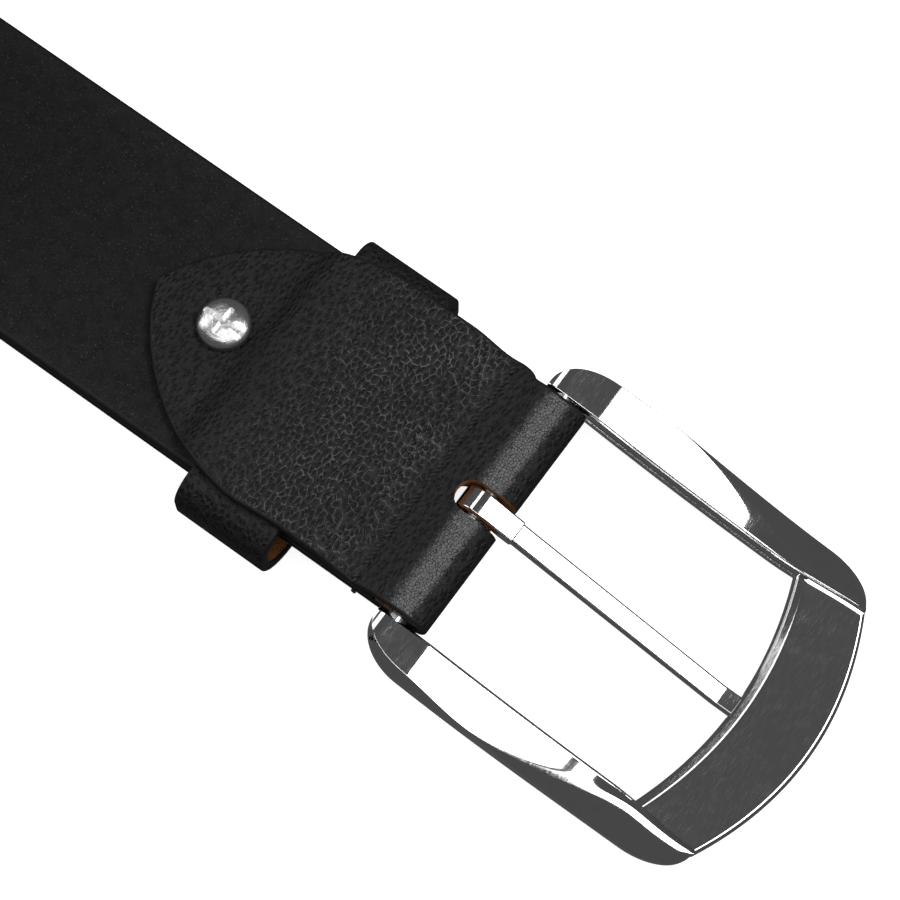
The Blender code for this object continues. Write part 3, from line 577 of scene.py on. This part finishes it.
def thread_fibre(name):
    """Waxed polyester: fine filaments across the twist."""
    n = Nodes(name)
    place = n.object_place()
    filaments = n.noise(n.stretch(place, (6.0, 1.5, 6.0)), 2.0, 3.0)
    n.link(n.mix(filaments, grey(0.006), grey(0.03)), "Base Color")
    n.link(n.bump(filaments, 0.06, 0.8), "Normal")
    n.link(n.ramp(filaments, 0.3, 0.7, 0.5, 0.75), "Roughness")
    return n.material


def chrome(name, colour, roughness):
    """Polished plating: faint polishing lines across the buckle and a few soft smudges."""
    n = Nodes(name)
    place = n.object_place()
    lines = n.noise(n.stretch(place, (7.0, 0.5, 0.5)), 1.0, 3.0, 0.7)
    waves = n.noise(place, 0.1, 1.0)
    smudge = n.ramp(n.noise(place, 0.3, 4.0, 0.6), 0.5, 0.75)
    height = n.math("ADD", n.math("MULTIPLY", lines, 0.03), n.math("MULTIPLY", waves, 0.3))
    n.link(n.bump(height, 0.12, 0.5), "Normal")
    n.link(n.mix(smudge, grey(colour, 1.01), grey(0.93 * colour, 1.0)), "Base Color")
    streaks = n.ramp(lines, 0.45, 0.7, roughness, roughness + 0.05)
    n.link(n.math("ADD", streaks, n.math("MULTIPLY", smudge, 0.04)), "Roughness")
    n.set(Metallic=1.0)
    return n.material


def turned_chrome(name, centre):
    """Plating over fine turning rings round an upright axis, which spread the light in sectors."""
    n = Nodes(name)
    place = n.object_place()
    level = n.vector("MULTIPLY", n.vector("SUBTRACT", place, centre), (1.0, 1.0, 0.0))
    radius = n.new("ShaderNodeVectorMath", {0: level}, operation="LENGTH").outputs["Value"]
    inputs = {"W": radius, "Scale": 9.0, "Detail": 3.0}
    rings = n.new("ShaderNodeTexNoise", inputs, noise_dimensions="1D").outputs["Fac"]
    marks = n.noise(place, 2.0, 4.0, 0.7)
    n.link(n.bump(n.math("ADD", rings, n.math("MULTIPLY", marks, 0.3)), 0.03, 0.8), "Normal")
    n.link(n.mix(n.ramp(marks, 0.4, 0.7), grey(0.78, 1.01), grey(0.6)), "Base Color")
    n.link(n.ramp(marks, 0.3, 0.7, 0.16, 0.28), "Roughness")
    n.set(Metallic=1.0)
    return n.material


def nickel(name):
    """Dull nickel on a hidden steel piece."""
    n = Nodes(name)
    place = n.object_place()
    mottled = n.noise(place, 1.2, 4.0, 0.6)
    n.link(n.mix(mottled, grey(0.42), grey(0.6)), "Base Color")
    n.link(n.ramp(mottled, 0.3, 0.7, 0.22, 0.4), "Roughness")
    n.link(n.bump(mottled, 0.03, 0.4), "Normal")
    n.set(Metallic=1.0)
    return n.material


GRAIN = grain_leather("grain_leather")
PAINT = painted_edge("painted_edge")
LINING = split_lining("split_lining")
RAW = raw_leather("raw_leather")
THREAD = thread_fibre("thread")
CHROME = chrome("chrome", colour=0.72, roughness=0.05)
TURNED = turned_chrome("turned_chrome", (BAR.x - SCREW_FROM_BAR, 0.0, 0.0))
NICKEL = nickel("plated_steel")


# Strap.


def pressed(s, y):
    """How far the flap's grain side is pulled in by the stitches and the screw, and how far the
    leather stands off at the fold."""
    if s > 0:
        return 0.0
    if s > -FOLD_LENGTH:
        share = -s / FOLD_LENGTH
        return -FOLD_BULGE * math.sin(math.pi * share) ** 2 + 0.3 * smoothstep(share, 0.55, 1.0)
    from_bar = -s - FOLD_LENGTH
    depth = 0.3 * (1 - smoothstep(from_bar, 0.0, 4.0))
    from_rim = half_width(s) - abs(y)
    depth += STITCH_PULL * bump(from_bar, STITCH_FROM_BAR, 1.6) * smoothstep(from_rim, -0.5, 0.5)
    for hole in stitch_positions():
        depth += HOLE_PULL * bump(from_bar, STITCH_FROM_BAR, 1.3) * bump(y, hole, 1.6)
    past_head = math.hypot(from_bar - SCREW_FROM_BAR, y)
    head = SCREW_HEAD_DIAMETER / 2
    depth += SCREW_PRESS * (1 - smoothstep(past_head, head - 0.4, head + 1.6))
    depth += RIM_ROUNDING * (1 - smoothstep(from_rim, 0.0, 2.5))
    return depth + 0.05 * waviness(s, y, 6.0)


def flat_layer(name, stations, low, high, corner, across, materials):
    """One layer of the strap, laid out flat as (s, y, inward)."""
    bm = bmesh.new()
    sections = []
    for s in sorted(set(round(s, 5) for s in stations)):
        half = half_width(s)
        reach = min(corner, 0.4 * half)
        points, finishes = layer_ring(half, low, high, reach, reach, across)
        sections.append([(s, y, inward) for y, inward in points])
    loft(bm, sections, finishes)
    for face in bm.faces:
        if len(face.verts) > 4:
            face.material_index = EDGE
    return mesh_object(name, bm, materials)


def trimmed(s, y):
    """The flap is cut a little narrower on one side between the stitches and the loop, and a
    little wider on the other side at the fold."""
    from_bar = -s - FOLD_LENGTH
    if s > 0:
        return y
    if y > 0:
        by_ear = 0.01 * smoothstep(from_bar, -2.5, 1.5) + 0.025 * smoothstep(from_bar, 4.1, 5.2)
        return y * (1 + by_ear * (1 - smoothstep(from_bar, 5.5, 9.0)))
    return y * (1 - 0.032 * smoothstep(from_bar, 3.0, 9.0) * (1 - smoothstep(from_bar, 20.0, 30.0)))


def bend(obj, press=False):
    """Bends a flat layer along the route, and keeps its flat place for the materials."""
    mesh = obj.data
    flat = mesh.attributes.new("flat", "FLOAT_VECTOR", "POINT")
    for index, vertex in enumerate(mesh.vertices):
        s, y, inward = vertex.co / MM
        flat.data[index].vector = (s, y, inward)
        if press:
            inward += pressed(s, y)
            y = trimmed(s, y)
        vertex.co = on_strap(s, y, inward) * MM
    mesh.shade_smooth()
    mesh.set_sharp_from_angle(angle=math.radians(40))
    return obj


def strap_stations():
    stations = spread(0.0, FLAT_LENGTH, 50) + spread(FLAT_LENGTH, ROLL_START, 30)
    turns = roll_angle(BELT_LENGTH)
    angles = [index * ROLL_STEP for index in range(1, int(turns / ROLL_STEP) + 1)]
    stations += [ROLL_START + ROLL_RADIUS * angle - ROLL_RATE * angle**2 / 2 for angle in angles]
    stations = [s for s in stations if s < BELT_LENGTH - TIP_TAPER]
    return stations + [BELT_LENGTH - TIP_TAPER * share**2 for share in spread(0.0, 1.0, 14)]


def flap_stations():
    blunt = FLAP_LENGTH - NOSE_TAPER
    stations = spread(-FOLD_LENGTH, 0.0, 26)
    stations += [on_flap(x) for x in spread(0.5, blunt, 54)]
    shares = spread(0.0, 1.0, 44)
    return stations + [on_flap(FLAP_LENGTH - NOSE_TAPER * share**2) for share in shares]


def stadium(start, end, radius):
    arc = spread(-math.pi / 2, math.pi / 2, 12)
    outline = [(end - radius + radius * math.cos(a), radius * math.sin(a)) for a in arc]
    return outline + [(start + radius - radius * math.cos(a), -radius * math.sin(a)) for a in arc]


def circle(s, y, radius, steps=32):
    turn = spread(0.0, 2 * math.pi, steps)[:-1]
    return [(s + radius * math.cos(a), y + radius * math.sin(a)) for a in turn]


def pierce(obj, outline, finish):
    tool = prism("tool", outline, 20.0, lambda a, b, c: (a, b, c), [finish])
    return boolean(obj, tool, "DIFFERENCE", keep_material=True)


def build_strap():
    holes = []
    for index in range(SIZE_HOLES):
        s = BELT_LENGTH - SIZE_HOLE_FROM_TIP - SIZE_HOLE_PITCH * index
        holes.append(circle(s, 0.0, SIZE_HOLE_DIAMETER / 2))
    face = flat_layer(
        "strap_face",
        flap_stations() + strap_stations(),
        0.0,
        FACE_THICKNESS,
        FACE_CORNER,
        FACE_STEPS_ACROSS,
        [GRAIN, PAINT, RAW],
    )
    pierce(face, stadium(on_flap(SLOT_BACK), SLOT_FRONT, SLOT_WIDTH / 2), RAW)
    back = flat_layer(
        "strap_backing",
        [LINING_START] + [s for s in strap_stations() if s > LINING_START],
        FACE_THICKNESS,
        STRAP_THICKNESS,
        BACKING_CORNER,
        BACKING_STEPS_ACROSS,
        [RAW, PAINT, LINING],
    )
    for hole in holes:
        pierce(face, hole, PAINT)
        pierce(back, hole, PAINT)
    for obj, slot, nodes in (
        (face, "grain_leather", ["strap_face_leather"]),
        (back, "split_lining", ["strap_lining", "strap_filler"]),
    ):
        bend(obj, press=obj is face)
        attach(obj, "belt")
        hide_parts(*nodes)


# Keeper loop.


def loop_path(offset):
    """The loop's route in the (y, z) plane, at an offset from its inner side."""
    half = LOOP_HIGH.y - LOOP_THICKNESS + offset
    top = STRAP_BACK + GAP + offset
    bottom = LOOP_THICKNESS - offset
    upper = 2.6 + offset
    lower = 5.0 + offset
    corners = [
        (half - upper, top - upper, upper, math.pi / 2),
        (half - lower, bottom + lower, lower, 0.0),
        (-half + lower, bottom + lower, lower, -math.pi / 2),
        (-half + upper, top - upper, upper, -math.pi),
    ]
    split = 0.25
    points = [(split + (half - upper) * share, top) for share in (0.0, 0.25, 0.5, 0.75)]
    for index, (y, z, radius, start) in enumerate(corners):
        if index == 2:
            front = 2 * half - 2 * lower
            points += [(half - lower - front * share, bottom) for share in spread(0.1, 0.9, 8)]
        angles = spread(start, start - math.pi / 2, 12)
        points += [(y + radius * math.cos(a), z + radius * math.sin(a)) for a in angles]
    points += [(-split - (half - upper) * share, top) for share in (0.75, 0.5, 0.25, 0.0)]
    return points


def build_loop():
    bm = bmesh.new()
    flat = bm.verts.layers.float_vector.new("flat")
    inner = loop_path(0.0)
    outer = loop_path(LOOP_THICKNESS)
    centre = BAR.x - LOOP_FROM_BAR
    depth = -LOOP_CORNER / LOOP_THICKNESS
    profile, finishes = layer_ring(LOOP_WIDTH / 2, 1.0, 0.0, LOOP_CORNER, depth, LOOP_STEPS_ACROSS)
    sections = []
    lengths = [0.0]
    for index, (low, high) in enumerate(zip(inner, outer)):
        if index:
            lengths.append(lengths[-1] + math.dist(high, outer[index - 1]))
        section = []
        for x, share in profile:
            y = low[0] + (high[0] - low[0]) * share
            z = low[1] + (high[1] - low[1]) * share
            tucked = y * (1 - LOOP_TUCK if y > 0 else LOOP_EASE)
            section.append((centre + x + LOOP_SHIFT - LOOP_SKEW * y, tucked, z))
        sections.append(section)
    rings = loft(bm, sections, finishes)
    for length, ring in zip(lengths, rings):
        for vertex, (x, share) in zip(ring, profile):
            vertex[flat] = (x + LOOP_GRAIN_PLACE, length, share)
    loop = mesh_object("loop_leather", bm, [GRAIN, PAINT, RAW], sharp=60.0)
    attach(loop, "keeper")
    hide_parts("keeper_loop")


# Threads.


def build_thread(name, node, points):
    """A two-ply thread: two strands twisted round the points' smooth line."""
    dense = []
    for first, second in zip(points, points[1:]):
        steps = max(2, int((Vector(second) - Vector(first)).length / 0.12))
        shares = spread(0.0, 1.0, steps)[:-1]
        dense += [Vector(first).lerp(Vector(second), share) for share in shares]
    dense.append(Vector(points[-1]))
    for _ in range(4):
        smooth = [(a + 2 * b + c) / 4 for a, b, c in zip(dense, dense[1:], dense[2:])]
        dense = [dense[0], *smooth, dense[-1]]
    bm = bmesh.new()
    strand = THREAD_DIAMETER / 4
    for ply in range(2):
        sections = []
        along = 0.0
        for index, point in enumerate(dense):
            ahead = dense[min(index + 1, len(dense) - 1)] - dense[max(index - 1, 0)]
            ahead.normalize()
            side = ahead.cross(Vector((1.0, 0.0, 0.0))).normalized()
            up = ahead.cross(side)
            if index:
                along += (point - dense[index - 1]).length
            twist = 2 * math.pi * along / THREAD_TWIST + ply * math.pi
            centre = point + strand * (side * math.cos(twist) + up * math.sin(twist))
            section = [
                centre + strand * 1.15 * (side * math.cos(a) + up * math.sin(a))
                for a in spread(0.0, 2 * math.pi, 8)[:-1]
            ]
            sections.append(section)
        loft(bm, sections)
    obj = mesh_object(name, bm, [THREAD], sharp=60.0)
    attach(obj, "belt")
    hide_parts(node)


def build_threads():
    x = BAR.x - STITCH_FROM_BAR
    radius = THREAD_DIAMETER / 2
    back = FLAP_ON_STRAP - 0.1
    front = STRAP_FRONT - radius - GAP
    edge = half_width(on_flap(STITCH_FROM_BAR)) - 0.9

    def run(level, into):
        points = []
        for y in stitch_positions():
            points += [(x, y - 0.95, level), (x, y - 0.25, level + into)]
            points += [(x, y + 0.25, level + into), (x, y + 0.95, level)]
        return points

    for name, node, level, inward in (
        ("thread_back", "stitch_thread_back", back, -1),
        ("thread_front", "stitch_thread_front", front, 1),
    ):
        end = [
            (x, -edge, level + inward * 1.0),
            (x, -edge, level + inward * 0.35),
            (x, -edge + 0.35, level),
        ]
        mirrored = [(px, -py, pz) for px, py, pz in reversed(end)]
        build_thread(name, node, end + run(level, inward * THREAD_DIP) + mirrored)


# Screw and post.


def turned(name, profile, materials, steps=96):
    """A solid turned round the screw's axis from (radius, height) points, top to bottom."""
    bm = bmesh.new()
    centre = BAR.x - SCREW_FROM_BAR
    rings = []
    for radius, height in profile:
        if radius < 1e-6:
            rings.append([bm.verts.new((centre, 0.0, height))])
            continue
        around = spread(0.0, 2 * math.pi, steps)[:-1]
        places = [(centre + radius * math.cos(a), radius * math.sin(a), height) for a in around]
        rings.append([bm.verts.new(place) for place in places])
    for ring, following in zip(rings, rings[1:]):
        for index in range(steps):
            beside = (index + 1) % steps
            if len(ring) == 1:
                bm.faces.new((ring[0], following[beside], following[index]))
            elif len(following) == 1:
                bm.faces.new((ring[index], ring[beside], following[0]))
            else:
                bm.faces.new((ring[index], ring[beside], following[beside], following[index]))
    return mesh_object(name, bm, materials, sharp=30.0)


def build_screw():
    seat = FLAP_ON_STRAP + SCREW_SEAT_GAP
    head = SCREW_HEAD_DIAMETER / 2
    shank = 1.5
    foot = seat + SCREW_RIM
    rise = SCREW_HIGH.z - seat - SCREW_RIM
    quarter = spread(0.0, math.pi / 2, 20)
    dome = [(head * math.sin(a), foot + rise * math.cos(a)) for a in quarter]
    dome[0] = (0.0, dome[0][1])
    dome[-1] = (head, foot)
    profile = dome + [(head, seat + 0.12), (head - 0.15, seat), (shank, seat)]
    profile += [(shank, SCREW_LOW.z), (0.0, SCREW_LOW.z)]
    screw = turned("screw_head", profile, [TURNED])
    top = SCREW_HIGH.z
    centre = BAR.x - SCREW_FROM_BAR
    b = SCREW_SLOT_WIDTH / 2
    for length, along in ((SCREW_SLOT_LENGTH, True), (SCREW_CROSS_LENGTH, False)):
        a = length / 2
        outline = rounded([(-a, -b), (a, -b), (a, b), (-a, b)], [0.3] * 4)
        if not along:
            outline = [(-across, lengthwise) for lengthwise, across in outline]
        tool = prism(
            "slot",
            outline,
            2 * SCREW_SLOT_DEPTH,
            lambda x, y, z: (centre + x, y, top + z),
            [TURNED],
        )
        boolean(screw, tool, "DIFFERENCE")
    screw.data.shade_smooth()
    screw.data.set_sharp_from_angle(angle=math.radians(30))
    bevel = screw.modifiers.new("soft_edges", "BEVEL")
    bevel.width = 0.07 * MM
    bevel.segments = 2
    bevel.limit_method = "ANGLE"
    bevel.angle_limit = math.radians(35)
    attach(screw, "belt")
    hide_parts("screw_male")

    low, high = (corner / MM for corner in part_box("screw_post"))
    outer = (high.x - low.x) / 2
    floor = STRAP_FRONT - SCREW_SEAT_GAP
    bore = 1.8
    sleeve = 2.5
    corner = 0.6
    profile = [(0.0, SCREW_LOW.z - GAP), (bore, SCREW_LOW.z - GAP), (bore, high.z)]
    profile += [(sleeve, high.z), (sleeve, floor), (outer, floor)]
    for a in spread(0.0, math.pi / 2, 6):
        side = outer - corner + corner * math.cos(a)
        profile.append((side, low.z + corner - corner * math.sin(a)))
    profile.append((0.0, low.z))
    post = turned("post_head", profile, [TURNED])
    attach(post, "belt")
    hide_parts("screw_post")


# Buckle.


def bow(u):
    share = u / FRAME_LENGTH
    return -4 * FRAME_BOW * share * (1 - share)


def prong_tip_back(u):
    return bow(u) - FRAME_FRONT + NOTCH_DEPTH - GAP


def resting_pitch():
    pitches = []
    for u in (PRONG_BEND, PRONG_LENGTH):
        depth = PRONG_TIP_THICKNESS - prong_tip_back(u)
        pitches.append(math.asin(BAR.z / math.hypot(u, depth)) - math.atan2(depth, u))
    return min(pitches)


PITCH = resting_pitch()


def on_buckle(u, v, w):
    x = BAR.x + u * math.cos(PITCH) + w * math.sin(PITCH)
    return Vector((x, v, BAR.z - u * math.sin(PITCH) + w * math.cos(PITCH)))


def ear_drop(u):
    """The rail's back falls gently towards its ear and rolls over at the very end."""
    start = 6.6
    soft = 1.2
    past = max(start - u, 0.0)
    slope = past**2 / (2 * soft) if past < soft else past - soft / 2
    return 0.14 * slope + 0.12 * max(-0.6 - u, 0.0) ** 2


def rail_section(u, side):
    """One rail's section at u: an inner side with a low rib, a flat back facet that narrows
    towards the far end, and a bevel that widens outwards beside it."""
    flare_start = WINDOW_LENGTH - FINGER_FLARE_START
    inner = WINDOW_WIDTH / 2 + FINGER_FLARE * smoothstep(u, flare_start, FINGER_LENGTH)
    taper = (BUCKLE_FAR_WIDTH - BUCKLE_WIDTH) / 2
    outer = BUCKLE_WIDTH / 2 + taper * smoothstep(u, 10, 50)
    near = min(max((u + EAR_LENGTH) / EAR_ROUNDING, 0.0), 1.0)
    far = min(max((FINGER_LENGTH - u) / FINGER_ROUNDING, 0.0), 1.0)
    depth = outer - inner
    outer -= EAR_NARROWING * depth * (1 - math.sqrt(1 - (1 - near) ** 2))
    outer -= FINGER_NARROWING * depth * (1 - math.sqrt(1 - (1 - far) ** 2))
    width = outer - inner
    back = RAIL_BACK - ear_drop(u)
    lean = (0.07 if side > 0 else 0.17) * width * (1 - smoothstep(u, 2.0, 18.0))
    drop = RAIL_OUTER_DROP * smoothstep(u, 8, 46)
    share = 0.03 + 0.85 * smoothstep(u, 13, 43) ** 1.4
    crease = max(outer - lean - (width - lean) * share, inner + 0.35)
    crease_back = back - 0.6 * smoothstep(u, 8, 50)
    edge = min(0.5, width / 5)
    middle = crease + min(1.4, 0.45 * (outer - lean - crease))
    outline = [
        (inner, -FRAME_FRONT),
        (inner, -0.7),
        (inner - RIB_HEIGHT, -0.45),
        (inner - RIB_HEIGHT, -0.1),
        (inner, 0.15),
        (inner, back - 0.5),
        (inner + min(0.38, 0.25 * width), back),
        (crease, crease_back),
        (middle, crease_back - 0.18 * (middle - crease)),
        (outer - lean, back - drop - 0.3 * edge),
        (outer, -0.6 - 0.3 * drop),
        (outer, -FRAME_FRONT),
    ]
    radii = [edge, 0.1, 0.08, 0.08, 0.1, 0.2, 0.15, 1.0, 0.5, 0.6 * edge, 0.6, 1.2 * edge]
    section = rounded(outline, radii, 4)
    return [(v, w + bow(u)) for v, w in section]


def rail(name, side):
    bm = bmesh.new()
    stations = [-EAR_LENGTH + 4.0 * share**2 for share in spread(0.0, 1.0, 20)]
    stations += spread(1.3, 7.3, 24) + spread(7.6, FINGER_LENGTH - 9.0, 60)
    stations += [FINGER_LENGTH - 8.8 * (1 - share) ** 2 for share in spread(0.0, 1.0, 22)]
    loft(bm, [[on_buckle(u, side * v, w) for v, w in rail_section(u, side)] for u in stations])
    return mesh_object(name, bm, [CHROME], sharp=20.0)


def end_bar(name):
    bm = bmesh.new()
    half = WINDOW_WIDTH / 2 + END_BAR_OVERLAP
    sections = []
    for v in spread(-half, half, 64):
        sag = (v / half) ** 2
        inner = WINDOW_LENGTH - (END_BAR_SAG - 0.9) * sag
        outer = WINDOW_LENGTH + END_BAR_WIDTH - END_BAR_SAG * sag
        outline = [
            (inner, -FRAME_FRONT),
            (inner, END_BAR_BACK - 0.5),
            (inner + 0.15, END_BAR_BACK - 0.1),
            (inner + 0.3, END_BAR_BACK - 0.1),
            (inner + 0.35, END_BAR_BACK),
            (inner + 0.35 + END_BAR_RIM, END_BAR_BACK + 0.4 * END_BAR_RIM),
            (outer - 0.5, END_BAR_BACK + 0.5),
            (outer, END_BAR_BACK - 0.1),
            (outer, -FRAME_FRONT),
        ]
        radii = [0.4, 0.15, 0.1, 0.05, 0.05, 0.3, 0.25, 0.3, 1.0]
        section = rounded(outline, radii, 3)
        sections.append([on_buckle(u, v, w + bow(u)) for u, w in section])
    loft(bm, sections)
    return mesh_object(name, bm, [CHROME], sharp=20.0)


def build_frame():
    buckle = end_bar("buckle_chrome")
    for side in (-1, 1):
        boolean(buckle, rail("rail", side), "UNION")
    bar_end = BUCKLE_WIDTH / 2 - BAR_SEAT + GAP
    hole = circle(0.0, 0.0, BAR_DIAMETER / 2 + BAR_HOLE_GAP, 48)
    tool = prism("hole", hole, 2 * bar_end, lambda a, b, c: on_buckle(a, c, b), [CHROME])
    boolean(buckle, tool, "DIFFERENCE")
    along = spread(PRONG_BEND, FRAME_LENGTH + 2, 16)
    roof = [(u, bow(u) - FRAME_FRONT + NOTCH_DEPTH) for u in along]
    outline = roof + [(roof[-1][0], NOTCH_CUTTER_FRONT), (roof[0][0], NOTCH_CUTTER_FRONT)]
    tool = prism("notch", outline, NOTCH_WIDTH, lambda a, b, c: on_buckle(a, c, b), [CHROME])
    boolean(buckle, tool, "DIFFERENCE")
    buckle.data.shade_smooth()
    buckle.data.set_sharp_from_angle(angle=math.radians(20))
    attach(buckle, "buckle")
    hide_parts("buckle_frame")


# Prong.


def build_prong():
    """One strip: curled round the bar, thickened at the heel, then straight to the notch."""
    middle = BAR_DIAMETER / 2 + GAP + PRONG_CURL_WALL / 2
    outer = middle + PRONG_CURL_WALL / 2
    path = []
    for angle in spread(math.radians(352.0), math.radians(90.0), 46):
        normal = (math.cos(angle), math.sin(angle))
        u, w = (middle * part for part in normal)
        path.append((u, w, normal, PRONG_CURL_WIDTH, PRONG_CURL_WALL))

    def shank(u, back, width, thickness):
        path.append((u, back - thickness / 2, (0.0, 1.0), width, thickness))

    slope_end = PRONG_STEP - 0.2
    heel = PRONG_THICKNESS + PRONG_HEEL_SWELL - PRONG_CURL_WALL
    for share in spread(0.1, 1.0, 8):
        back = outer - (outer - PRONG_HEEL_BACK - PRONG_HEEL_SWELL) * smoothstep(share, 0.0, 1.0)
        thickness = PRONG_CURL_WALL + heel * smoothstep(share, 0.1, 0.7)
        width = PRONG_CURL_WIDTH - 0.2 * share
        shank(slope_end * share, back, width, thickness)
    for u in spread(PRONG_STEP, PRONG_BEND, 24):
        share = (u - PRONG_STEP) / (PRONG_BEND - PRONG_STEP)
        back = PRONG_HEEL_BACK + (prong_tip_back(PRONG_BEND) - PRONG_HEEL_BACK) * share
        thickness = PRONG_THICKNESS + (PRONG_TIP_THICKNESS - PRONG_THICKNESS) * share
        shank(u, back, PRONG_WIDTH, thickness)
    straight_end = PRONG_LENGTH - PRONG_TIP_ROUND
    for u in spread(PRONG_BEND + 0.8, straight_end, 8):
        shank(u, prong_tip_back(u), PRONG_WIDTH, PRONG_TIP_THICKNESS)
    for share in spread(0.15, 0.96, 8):
        angle = share * math.pi / 2
        u = straight_end + PRONG_TIP_ROUND * math.sin(angle)
        shank(u, prong_tip_back(u), PRONG_WIDTH * math.cos(angle), PRONG_TIP_THICKNESS)

    bm = bmesh.new()
    sections = []
    for u, w, (nu, nw), width, thickness in path:
        a = width / 2
        b = thickness / 2
        c = min(0.28, 0.3 * a)
        outline = [(-a, -b), (a, -b), (a, b - 1.6 * c), (a - c, b), (c - a, b), (-a, b - 1.6 * c)]
        ring = rounded(outline, [0.2, 0.2, 0.12, 0.12, 0.12, 0.12], 4)
        sections.append([on_buckle(u + nu * height, v, w + nw * height) for v, height in ring])
    loft(bm, sections)
    prong = mesh_object("prong_chrome", bm, [CHROME], sharp=20.0)
    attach(prong, "prong")
    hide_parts("buckle_prong")


# Floor, light and camera.


def build_stage():
    bpy.ops.mesh.primitive_plane_add(size=6.0)
    floor = bpy.context.object
    floor.name = "floor"
    floor.location.z = -0.0002
    n = Nodes("pale_floor")
    n.set(Base_Color=grey(0.85), Roughness=0.9, Specular_IOR_Level=0.0)
    n.set(Emission_Color=grey(1.0), Emission_Strength=0.85)
    floor.data.materials.append(n.material)
    floor.visible_glossy = False
    floor.visible_diffuse = False

    world = bpy.data.worlds.new("studio")
    world.use_nodes = True
    world.node_tree.nodes["Background"].inputs["Color"].default_value = grey(1.0)
    world.node_tree.nodes["Background"].inputs["Strength"].default_value = 0.085
    bpy.context.scene.world = world


def area_light(name, centre, size, brightness, facing=(0.0, 0.0, 1.0)):
    """A soft box of even brightness. facing points from the belt to the light."""
    data = bpy.data.lights.new(name, "AREA")
    data.shape = "RECTANGLE"
    data.size, data.size_y = size
    data.energy = brightness * math.pi * size[0] * size[1]
    light = bpy.data.objects.new(name, data)
    bpy.context.scene.collection.objects.link(light)
    light.location = centre
    light.rotation_euler = Vector(facing).to_track_quat("Z", "Y").to_euler()


def ceiling_light(name, x_range, y_range, brightness, height=0.8):
    """A soft box that hangs level over the belt."""
    size = (x_range[1] - x_range[0], y_range[1] - y_range[0])
    centre = (sum(x_range) / 2, sum(y_range) / 2, height)
    area_light(name, centre, size, brightness)


def build_lights():
    ceiling_light("rail_softbox", (0.215, 0.43), (-0.05, 0.48), 6.0)
    ceiling_light("ear_softbox", (-0.5, -0.24), (0.12, 0.4), 2.0)
    ceiling_light("prong_softbox", (0.44, 0.7), (-0.05, 0.6), 6.0)
    ceiling_light("front_softbox", (-0.3, 0.35), (-0.27, -0.1), 4.0)
    area_light("left_softbox", (-0.7, -0.1, 0.5), (0.5, 0.5), 2.5, (-0.7, -0.1, 0.5))


CAMERA_ELEVATION = math.radians(73.0)
CAMERA_HEADING = math.radians(36.023)
CAMERA_DISTANCE = 0.45
CAMERA_TARGET = Vector((0.055818, 0.007209, 0.0))
CAMERA_LENS = 124.86


def build_camera():
    data = bpy.data.cameras.new("camera")
    data.lens = CAMERA_LENS
    data.sensor_width = 36.0
    data.clip_start = 0.01
    camera = bpy.data.objects.new("camera", data)
    bpy.context.scene.collection.objects.link(camera)
    sideways = Vector((math.sin(CAMERA_HEADING), -math.cos(CAMERA_HEADING), 0.0))
    level = math.cos(CAMERA_ELEVATION) * sideways
    back = level + math.sin(CAMERA_ELEVATION) * Vector((0.0, 0.0, 1.0))
    camera.location = CAMERA_TARGET + CAMERA_DISTANCE * back
    camera.rotation_euler = back.to_track_quat("Z", "Y").to_euler()
    bpy.context.scene.camera = camera
    bpy.context.scene.view_settings.view_transform = "Standard"


def finish_cad_nodes():
    """The CAD nodes that stay get their materials in their own slots."""
    for node in ("buckle_bar", "keeper_staple_1", "keeper_staple_2"):
        for slot in frame["nodes"][node].material_slots:
            slot.material = NICKEL


build_strap()
build_loop()
build_threads()
build_screw()
build_frame()
build_prong()
finish_cad_nodes()
build_stage()
build_lights()
build_camera()
